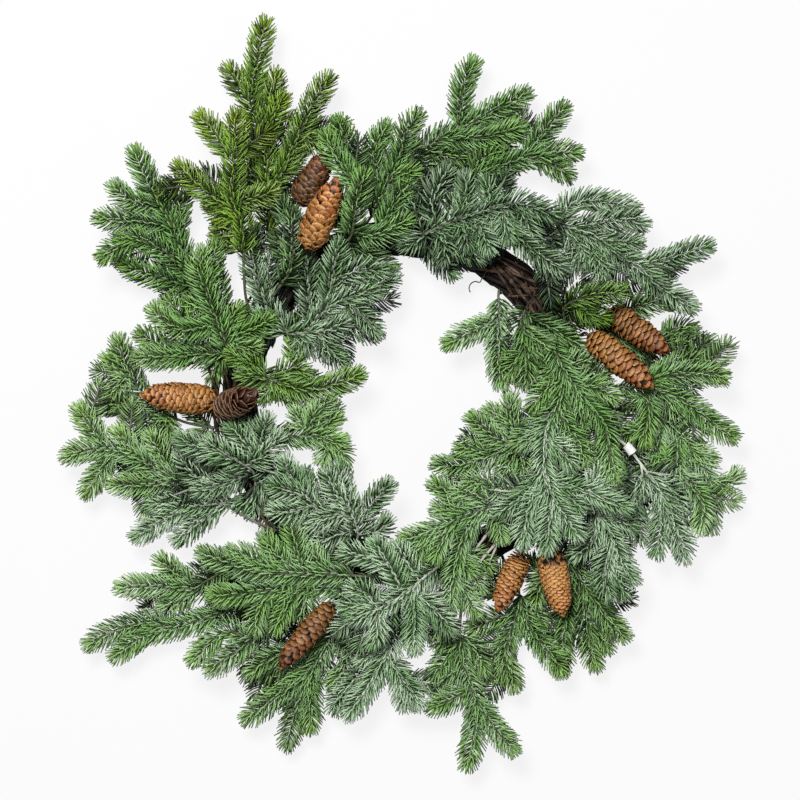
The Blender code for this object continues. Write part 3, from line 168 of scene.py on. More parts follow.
# Each spray: name, colour, root on the ring (degrees round the ring, degrees round the bundle from
# its outer side over the top), heights after the root and at the tip, bare length of the main stem,
# then the plan routes of the main stem and of its side twigs, each from its root to its tip.
SPRAYS = [
    ("spray_top_left_front", "needles_fresh", (150, 60), (44, 72), 62,
     [[(-154, 102), (-156, 135), (-157, 175), (-166, 200), (-164, 248), (-161, 293)],
      [(-166, 240), (-187, 268), (-205, 288)],
      [(-160, 188), (-184, 202), (-199, 213), (-228, 239)],
      [(-160, 196), (-135, 203), (-116, 212)]]),
    ("spray_top_left_rear", "needles_fresh", (135, 20), (30, 46), 40,
     [[(-124, 138), (-132, 178), (-133, 228), (-138, 263), (-150, 298), (-145, 329), (-133, 387)],
      [(-151, 300), (-164, 320), (-178, 340)],
      [(-135, 260), (-123, 292), (-112, 312)],
      [(-132, 210), (-113, 240), (-91, 288), (-66, 331)]]),
    ("spray_top_left_inner", "needles_green", (145, 78), (54, 70), 30,
     [[(-120, 113), (-109, 130), (-106, 160), (-107, 195)]]),
    ("spray_upper_left_frosted", "needles_frosted", (153, 128), (50, 60), 20,
     [[(-97, 67), (-75, 88), (-49, 103), (-13, 110)],
      [(-91, 75), (-92, 110), (-93, 153)],
      [(-72, 90), (-66, 129), (-59, 166)],
      [(-55, 100), (-36, 83), (-17, 57)],
      [(-97, 65), (-75, 68), (-45, 82)],
      [(-112, 62), (-134, 95), (-132, 130), (-122, 156)]]),
    ("spray_left_inner_bright", "needles_fresh", (168, 110), (48, 60), 10,
     [[(-115, 15), (-90, 10), (-55, 19), (-31, 31)],
      [(-122, 30), (-105, 33), (-84, 20)],
      [(-132, 24), (-148, 31), (-165, 38)]]),
    ("spray_left_top", "needles_green", (163, 10), (28, 48), 40,
     [[(-178, 82), (-204, 118), (-218, 150), (-230, 179), (-246, 205), (-269, 258)],
      [(-240, 195), (-270, 200), (-292, 221)],
      [(-228, 174), (-260, 178), (-285, 180), (-310, 183)],
      [(-225, 165), (-222, 188), (-212, 212)],
      [(-208, 125), (-235, 148), (-260, 160), (-289, 160)],
      [(-262, 160), (-282, 152), (-304, 135)],
      [(-200, 112), (-228, 119), (-260, 129), (-288, 144)]]),
    ("spray_left_front_brush", "needles_green", (171, 60), (52, 74), 15,
     [[(-174, 58), (-186, 91), (-197, 125), (-193, 157)],
      [(-182, 76), (-213, 70), (-234, 80), (-252, 97)],
      [(-173, 46), (-221, 46), (-247, 59), (-269, 71)],
      [(-176, 60), (-148, 70), (-121, 87)],
      [(-200, 45), (-235, 42), (-272, 43)]]),
    ("spray_left_middle", "needles_green", (187, -5), (14, 24), 45,
     [[(-190, -28), (-224, -20), (-250, -2), (-265, 13), (-279, 43), (-287, 71)],
      [(-265, 11), (-285, 30), (-302, 51)],
      [(-224, -21), (-247, -21), (-279, -6), (-312, -7)]]),
    ("spray_left_far", "needles_green", (203, 10), (26, 44), 30,
     [[(-185, -85), (-230, -78), (-255, -62), (-285, -50), (-311, -50), (-344, -59)],
      [(-294, -47), (-311, -25), (-328, 0)],
      [(-288, -52), (-304, -77), (-321, -101)],
      [(-250, -64), (-272, -45), (-290, -23)],
      [(-228, -78), (-243, -50), (-256, -27)],
      [(-220, -87), (-260, -87), (-298, -83)]]),
    ("spray_left_lower", "needles_frosted", (212, 25), (34, 40), 15,
     [[(-175, -103), (-210, -108), (-240, -122), (-273, -143)],
      [(-178, -105), (-205, -125), (-231, -147)]]),
    ("spray_left_front_frosted", "needles_frosted", (208, 80), (56, 70), 5,
     [[(-148, -70), (-174, -53), (-200, -36)],
      [(-152, -78), (-178, -86), (-212, -91)],
      [(-184, -87), (-208, -72), (-222, -46)],
      [(-130, -76), (-128, -50), (-116, -26)],
      [(-150, -60), (-158, -38), (-178, -20)]]),
    ("spray_left_inner", "needles_green", (192, 150), (40, 54), 10,
     [[(-112, -36), (-85, -37), (-65, -42), (-48, -36)],
      [(-82, -34), (-68, -20), (-52, -14)],
      [(-72, -38), (-74, -52), (-80, -70)],
      [(-85, -36), (-86, -16), (-84, 2)]]),
    ("spray_lower_left_inner", "needles_frosted", (250, 118), (50, 64), 8,
     [[(-42, -135), (-49, -111), (-62, -95), (-77, -63)],
      [(-45, -124), (-29, -104), (-4, -76)],
      [(-43, -136), (-20, -130), (-10, -110)],
      [(-51, -110), (-70, -115), (-86, -106), (-94, -88), (-95, -62)],
      [(-74, -114), (-84, -124), (-103, -128)]]),
    ("spray_lower_left_long", "needles_green", (265, 100), (60, 66), 48,
     [[(-22, -175), (-55, -174), (-100, -173), (-138, -170), (-170, -162), (-206, -149)],
      [(-25, -177), (-40, -186), (-70, -188), (-97, -188), (-115, -210), (-127, -238)],
      [(-97, -172), (-102, -152), (-106, -133), (-112, -109)],
      [(-105, -187), (-135, -188), (-160, -193), (-197, -194)],
      [(-130, -188), (-141, -209), (-144, -240)]]),
    ("spray_lower_left_upper", "needles_green", (227, 15), (26, 40), 30,
     [[(-138, -162), (-172, -180), (-200, -190), (-228, -172), (-247, -152)],
      [(-202, -190), (-216, -189), (-255, -186), (-289, -188)]]),
    ("spray_lower_left_far", "needles_green", (239, 0), (24, 32), 30,
     [[(-115, -185), (-150, -204), (-183, -216), (-220, -227), (-257, -237), (-295, -264)],
      [(-230, -229), (-257, -224), (-290, -233), (-321, -251)],
      [(-115, -185), (-130, -222), (-154, -245), (-171, -256), (-199, -275)],
      [(-150, -243), (-172, -231), (-195, -248), (-213, -267)]]),
    ("spray_bottom_left", "needles_green", (249, -5), (22, 34), 40,
     [[(-58, -200), (-70, -240), (-90, -272), (-115, -292), (-163, -326)],
      [(-95, -278), (-104, -310), (-117, -358)],
      [(-87, -272), (-90, -300), (-90, -341)],
      [(-72, -240), (-105, -252), (-135, -262), (-157, -281)],
      [(-62, -225), (-52, -262), (-76, -294)]]),
    ("spray_bottom_frosted_front", "needles_frosted", (285, 95), (62, 72), 18,
     [[(27, -174), (2, -194), (-24, -208), (-58, -220)],
      [(4, -190), (-11, -162), (-31, -132)],
      [(10, -188), (14, -215), (14, -240), (17, -257)]]),
    ("spray_bottom_frosted_low", "needles_frosted", (269, 30), (44, 46), 30,
     [[(-2, -210), (-8, -245), (-18, -262), (-29, -282), (-43, -302), (-57, -323)],
      [(-9, -246), (-43, -238), (-69, -230)],
      [(-6, -250), (5, -277), (15, -297), (21, -314)]]),
    ("spray_bottom_down", "needles_green", (292, 40), (44, 36), 70,
     [[(64, -195), (60, -228), (63, -260), (73, -292), (76, -322), (66, -377)],
      [(75, -300), (95, -328), (120, -357)],
      [(70, -294), (45, -303), (23, -313)],
      [(60, -240), (44, -262), (28, -288)]]),
    ("spray_bottom_middle", "needles_green", (302, -5), (18, 34), 40,
     [[(115, -175), (121, -202), (115, -225), (107, -250), (101, -290)],
      [(118, -215), (101, -218), (78, -228), (61, -231)],
      [(119, -212), (129, -229), (144, -248), (158, -264), (163, -283)],
      [(106, -255), (112, -278), (120, -297)]]),
    ("spray_bottom_right", "needles_green", (323, 8), (26, 38), 30,
     [[(165, -145), (177, -172), (189, -190), (203, -210), (216, -228), (233, -243)],
      [(185, -185), (188, -220), (192, -250), (200, -277)],
      [(165, -150), (168, -200), (164, -240), (162, -282)]]),
    ("spray_right_centre", "needles_frosted", (2, 100), (62, 82), 8,
     [[(153, -12), (144, -35), (143, -62), (147, -86), (158, -107), (171, -127), (183, -141)],
      [(143, -70), (127, -91), (107, -106), (91, -118)],
      [(147, -88), (130, -102), (123, -129), (121, -153)],
      [(153, -98), (148, -121), (143, -158)],
      [(145, -72), (160, -79), (184, -90), (216, -106)]]),
    ("spray_upper_right_hanging", "needles_green", (49, 160), (40, 56), 14,
     [[(100, 110), (99, 80), (98, 50), (102, 6)],
      [(98, 82), (66, 66), (39, 51)]]),
    ("spray_right_inner_upper", "needles_green", (38, 100), (58, 64), 8,
     [[(120, 78), (133, 62), (156, 50)],
      [(122, 75), (127, 40), (121, 6)],
      [(130, 80), (158, 66), (177, 52), (186, 33)]]),
    ("spray_right_main", "needles_green", (28, 95), (60, 76), 10,
     [[(152, 55), (160, 35), (172, 15), (190, -8), (203, -25), (208, -58), (213, -88)],
      [(174, 15), (197, 11), (222, -3)],
      [(162, 28), (156, -5), (133, -28), (107, -53)],
      [(157, -8), (165, -25), (178, -47), (190, -69)]]),
    ("spray_right_inner_lower", "needles_green", (345, 140), (50, 56), 8,
     [[(125, -45), (100, -40), (85, -28), (63, -12)],
      [(115, -48), (91, -58), (53, -66), (27, -62)],
      [(118, -44), (110, -15), (112, 12)]]),
    ("spray_lower_right_inner", "needles_green", (318, 115), (54, 60), 8,
     [[(105, -105), (90, -106), (76, -112), (53, -120), (35, -129), (15, -136), (-6, -139)],
      [(78, -111), (63, -137), (58, -155), (53, -178), (48, -218)],
      [(70, -114), (59, -107), (47, -92), (25, -78)],
      [(95, -105), (90, -84), (79, -81), (57, -82)],
      [(58, -158), (70, -170), (80, -178)]]),
    ("spray_lower_right_frosted", "needles_frosted", (343, 60), (48, 56), 20,
     [[(180, -90), (195, -112), (208, -130), (215, -148), (226, -172), (240, -186)],
      [(200, -120), (190, -142), (166, -162)],
      [(212, -142), (203, -175), (213, -203)]]),
    ("spray_right_taped", "needles_frosted", (354, 40), (52, 50), 85,
     [[(198, -28), (224, -44), (238, -61), (251, -79), (264, -101), (274, -127), (282, -146),
       (283, -168)],
      [(260, -95), (260, -125), (257, -146), (255, -163)],
      [(240, -64), (242, -84), (238, -104)]]),
    ("spray_right_upper", "needles_green", (9, 20), (38, 46), 35,
     [[(210, 15), (240, 12), (259, 9), (283, 0), (302, -15), (321, -30), (343, -41)],
      [(235, 13), (257, 22), (289, 26), (315, 25), (330, 16)],
      [(240, 11), (248, -11), (245, -34), (248, -53)]]),
    ("spray_right_outer", "needles_green", (358, -5), (26, 34), 50,
     [[(210, -8), (245, -12), (274, -25), (289, -48), (305, -67), (311, -90), (311, -115), (314, -139)],
      [(308, -78), (327, -84), (346, -67)],
      [(280, -35), (278, -70), (290, -84), (302, -105), (297, -139)]]),
    ("spray_right_tip", "needles_green", (32, 5), (24, 40), 40,
     [[(200, 80), (228, 88), (241, 93), (262, 100), (282, 92)],
      [(195, 76), (225, 62), (250, 55), (274, 58), (296, 57), (314, 53), (327, 44)]]),
    ("spray_upper_right", "needles_frosted", (66, 60), (44, 54), 20,
     [[(130, 178), (165, 174), (200, 159), (213, 148), (238, 132), (257, 114), (300, 87)],
      [(235, 134), (257, 138), (289, 148), (317, 156)],
      [(172, 174), (203, 178), (229, 179), (251, 170)],
      [(160, 175), (170, 193), (190, 199), (214, 195), (244, 187)],
      [(180, 168), (190, 148), (200, 137), (217, 123)]]),
    ("spray_upper_frosted_stem", "needles_frosted", (90, 80), (60, 68), 16,
     [[(21, 165), (53, 178), (86, 188), (115, 195), (139, 188), (164, 178)],
      [(84, 188), (108, 178), (129, 167)],
      [(50, 176), (57, 199), (73, 207)],
      [(29, 166), (44, 158), (62, 150), (91, 138)],
      [(17, 164), (34, 144), (60, 118)],
      [(100, 191), (118, 160), (148, 137), (170, 125)],
      [(38, 171), (32, 196), (40, 214), (51, 237)]]),
    ("spray_top_right_outer", "needles_green", (82, 30), (38, 48), 55,
     [[(45, 193), (61, 213), (87, 228), (112, 238), (135, 244), (160, 247), (187, 247)],
      [(125, 242), (138, 260), (152, 278), (170, 300)],
      [(135, 243), (158, 231), (176, 216)],
      [(90, 226), (104, 220), (116, 214)]]),
    ("spray_top_right", "needles_green", (96, 15), (26, 38), 35,
     [[(0, 210), (15, 241), (34, 260), (63, 273), (88, 287), (111, 299), (136, 312)],
      [(62, 273), (61, 296), (65, 320), (79, 347)],
      [(40, 262), (75, 262), (101, 266), (131, 276)],
      [(25, 250), (55, 245), (82, 240)]]),
    ("spray_top_middle", "needles_green", (104, 55), (44, 56), 15,
     [[(-28, 185), (-15, 210), (-2, 240), (8, 269), (24, 292)],
      [(-17, 206), (-27, 243), (-18, 266), (-6, 281)],
      [(-8, 222), (8, 226), (25, 232)],
      [(-28, 187), (-42, 215), (-50, 240), (-56, 262), (-66, 287)]]),
    ("spray_top_front", "needles_green", (113, 95), (60, 76), 6,
     [[(-48, 165), (-44, 189), (-39, 212), (-32, 234)],
      [(-47, 166), (-29, 163), (-11, 169), (17, 185)],
      [(-46, 160), (-20, 138), (2, 128)]]),
    ("spray_upper_right_bright", "needles_fresh", (26, 60), (60, 70), 10,
     [[(165, 94), (185, 102), (210, 106), (231, 110)],
      [(162, 92), (175, 88), (195, 84), (214, 76)]]),
]


def bundle_point(ring_angle, bundle_angle, reach):
    """A point round the bundle: bundle_angle 0 is its outer side and 90 its top, in degrees."""
    turn = math.radians(ring_angle)
    lift = math.radians(bundle_angle)
    radius = RING_RADIUS + reach * math.cos(lift)
    return Vector((RING_MIDDLE[0] + radius * math.cos(turn),
                   RING_MIDDLE[1] + radius * math.sin(turn),
                   RING_HEIGHT + reach * math.sin(lift)))


def even_points(points, step):
    """Points an even step apart along the smooth curve through the given ones, short of its end."""
    controls = [np.array(p, dtype=float) for p in points]
    if len(controls) == 2:
        controls.insert(1, (controls[0] + controls[1]) / 2)
    padded = [2 * controls[0] - controls[1]] + controls + [2 * controls[-1] - controls[-2]]
    fine = []
    for a, b, c, d in zip(padded, padded[1:], padded[2:], padded[3:]):
        for t in np.arange(0.0, 1.0, CURVE_STEP):
            fine.append(0.5 * (2 * b + (c - a) * t + (2 * a - 5 * b + 4 * c - d) * t ** 2
                               + (3 * b - a - 3 * c + d) * t ** 3))
    fine.append(controls[-1])
    fine = np.array(fine)
    length = np.concatenate([[0.0], np.cumsum(np.linalg.norm(np.diff(fine, axis=0), axis=1))])
    reach = length[-1] - TIP_REACH
    places = np.linspace(0.0, reach, max(3, int(round(reach / step)) + 1))
    return np.column_stack([np.interp(places, length, fine[:, k]) for k in range(3)])


class Twig:
    """One stem or side twig: its beads from root to tip, and where it leaves its parent."""

    def __init__(self, spray, beads, parent=None, join=0, bare=0.0, low=False):
        self.spray = spray
        self.beads = beads
        self.parent = parent
        self.join = join
        self.bare = bare
        self.low = low
        self.measure()

    def measure(self):
        steps = np.linalg.norm(np.diff(self.beads, axis=0), axis=1)
        self.places = np.concatenate([[0.0], np.cumsum(steps)])
        self.length = self.places[-1]

    def point(self, place):
        return Vector([float(np.interp(place, self.places, self.beads[:, k])) for k in range(3)])

    def heading(self, place):
        ahead = self.point(min(place + HEADING_REACH, self.length))
        behind = self.point(max(place - HEADING_REACH, 0.0))
        return (ahead - behind).normalized()


def lay_twigs(chance):
    """Every spray's twigs at their first heights."""
    twigs = []
    for number, (_, _, root, heights, bare, routes) in enumerate(SPRAYS):
        start = bundle_point(*root, ROOT_REACH)
        family = []
        for route in routes:
            if not family:
                route = [(start.x, start.y)] + route
            flat = even_points([(x, y, 0.0) for x, y in route], BEAD_STEP)
            share = np.linspace(0.0, 1.0, len(flat))
            if not family:
                climb = np.interp(share * len(flat) * BEAD_STEP, [0.0, CLIMB_LENGTH], [0.0, 1.0])
                flat[:, 2] = start.z + (heights[0] - start.z) * climb + (heights[1] - heights[0]) * share
                family.append(Twig(number, flat, bare=bare))
                continue
            parent, join = nearest_fork(family, flat[0])
            base = parent.beads[join]
            rise = chance.uniform(*SIDE_RISE)
            flat[:, :2] += (base[:2] - flat[0, :2]) * (1.0 - share[:, None]) ** 2
            flat[:, 2] = base[2] + rise * len(flat) * BEAD_STEP * share
            family.append(Twig(number, flat, parent, join))
        twigs += family
    return twigs


def nearest_fork(family, spot):
    """The twig of a spray, and its bead, nearest to a spot in plan and free for a fork."""
    best = None
    for twig in family:
        gaps = np.linalg.norm(twig.beads[:, :2] - spot[:2], axis=1)
        gaps[twig.places < FIRST_STATION] = math.inf
        gaps[twig.places > twig.length - FORK_SPACE] = math.inf
        for other in family:
            if other.parent is twig:
                gaps[np.abs(twig.places - twig.places[other.join]) < FORK_SPACE] = math.inf
        join = int(np.argmin(gaps))
        if best is None or gaps[join] < best[0]:
            best = (gaps[join], twig, join)
    return best[1], best[2]


def cone_radius(share, widest):
    """Radius of a cone at a share of its length from base to tip."""
    return float(np.interp(share, CONE_PLACES, CONE_WIDTHS)) * widest


def push_from_cones(beads):
    """How far beads must move to stay clear of the cones."""
    moves = np.zeros_like(beads)
    for _, _, base, tip, widest in CONES:
        base, tip = np.array(base, dtype=float), np.array(tip, dtype=float)
        axis = tip - base
        share = np.clip(((beads - base) @ axis) / (axis @ axis), 0.0, 1.0)
        away = beads - (base + share[:, None] * axis)
        gap = np.linalg.norm(away, axis=1)
        needed = np.array([cone_radius(s, widest) for s in share]) * SCALE_OUT + CONE_MARGIN
        away[:, 2] += np.where(away[:, 2] >= 0.0, CONE_LIFT, -CONE_LIFT)
        away /= np.linalg.norm(away, axis=1)[:, None]
        moves += away * np.clip(needed - gap, 0.0, None)[:, None] * CONE_PUSH
    return moves


def push_from_bundle(beads):
    """How far beads must move to stay outside the bundle of canes."""
    flat = beads[:, :2] - np.array(RING_MIDDLE)
    distance = np.linalg.norm(flat, axis=1)
    across = np.column_stack([distance - RING_RADIUS, beads[:, 2] - RING_HEIGHT])
    reach = np.linalg.norm(across, axis=1) + 1e-9
    need = np.clip(ROOT_REACH - reach, 0.0, None) / reach
    moves = np.zeros_like(beads)
    moves[:, :2] = flat / distance[:, None] * (across[:, 0] * need)[:, None]
    moves[:, 2] = across[:, 1] * need
    return moves


def settle_twigs(twigs):
    """Bend the twigs clear of each other, the bundle and the cones, mostly upwards and downwards."""
    starts = np.concatenate([[0], np.cumsum([len(t.beads) for t in twigs])])
    owner = np.concatenate([np.full(len(t.beads), k) for k, t in enumerate(twigs)])
    place = np.concatenate([t.places for t in twigs])
    order = {id(t): k for k, t in enumerate(twigs)}
    parent = [order[id(t.parent)] if t.parent else -1 for t in twigs]
    beads = np.concatenate([t.beads for t in twigs])
    rank = beads[:, 2] + 0.01 * owner
    for _ in range(SETTLE_ROUNDS):
        tree = search_tree(beads)
        moves = push_from_cones(beads) + push_from_bundle(beads)
        moves[:, 2] += np.clip(FLOOR_HEIGHT - beads[:, 2], 0.0, None)
        for i, bead in enumerate(beads):
            for _, j, gap in tree.find_range(bead, BEAD_GAP):
                if j <= i or owner[i] == owner[j] or share_fork(i, j, owner, place, parent):
                    continue
                away = (beads[i] - beads[j]) * np.array([SIDEWAYS, SIDEWAYS, 1.0])
                if abs(away[2]) < LEAST_LIFT:
                    away[2] = LEAST_LIFT if rank[i] > rank[j] else -LEAST_LIFT
                away *= 0.5 * (BEAD_GAP - gap) / np.linalg.norm(away)
                moves[i] += away
                moves[j] -= away
        for k, twig in enumerate(twigs):
            part = moves[starts[k]:starts[k + 1]]
            for _ in range(SMOOTH_ROUNDS):
                part[1:-1] = (part[:-2] + 2 * part[1:-1] + part[2:]) / 4
            part *= np.clip(twig.places / STIFF_ROOT, 0.0, 1.0)[:, None]
            if parent[k] >= 0:
                part += moves[starts[parent[k]] + twig.join]
        beads += moves
    for k, twig in enumerate(twigs):
        twig.beads = beads[starts[k]:starts[k + 1]]
        twig.measure()


def share_fork(i, j, owner, place, parent):
    """Whether two beads are near the fork that joins their twigs."""
    a, b = owner[i], owner[j]
    if parent[a] == b:
        return place[i] < FORK_LENGTH
    if parent[b] == a:
        return place[j] < FORK_LENGTH
    return parent[a] == parent[b] >= 0 and place[i] < FORK_LENGTH and place[j] < FORK_LENGTH


def cane_point(cane, ring_angle):
    """Middle of a cane at an angle round the ring."""
    turn = CANE_START + 360.0 / CANE_COUNT * cane + CANE_TURNS * ring_angle
    return bundle_point(ring_angle, turn, BUNDLE_RADIUS)


def headings(spots):
    """Direction of the path at each spot."""
    result = []
    for k in range(len(spots)):
        ahead = spots[min(k + 1, len(spots) - 1)]
        behind = spots[max(k - 1, 0)]
        result.append((ahead - behind).normalized())
    return result


def tie_path(name):
    """Wire over the top and sides of the bundle, and the free loop on one of them."""
    angle = TIE_ANGLES[name]
    spots = [bundle_point(angle, turn, TIE_REACH) for turn in range(TIE_SWEEP[0], TIE_SWEEP[1] + 1, TIE_STEP)]
    if name == LOOP_TIE:
        end = spots[-1]
        inward = Vector((RING_MIDDLE[0] - end.x, RING_MIDDLE[1] - end.y, 0.0)).normalized()
        along = Vector((inward.y, -inward.x, 0.0))
        for turn in range(0, LOOP_SWEEP + 1, LOOP_STEP):
            swing = math.radians(turn)
            spots.append(end + inward * (LOOP_NECK + LOOP_RADIUS * (1 - math.cos(swing)))
                         + along * LOOP_RADIUS * math.sin(swing)
                         + Vector((0, 0, LOOP_RISE * turn / LOOP_SWEEP)))
    return spots


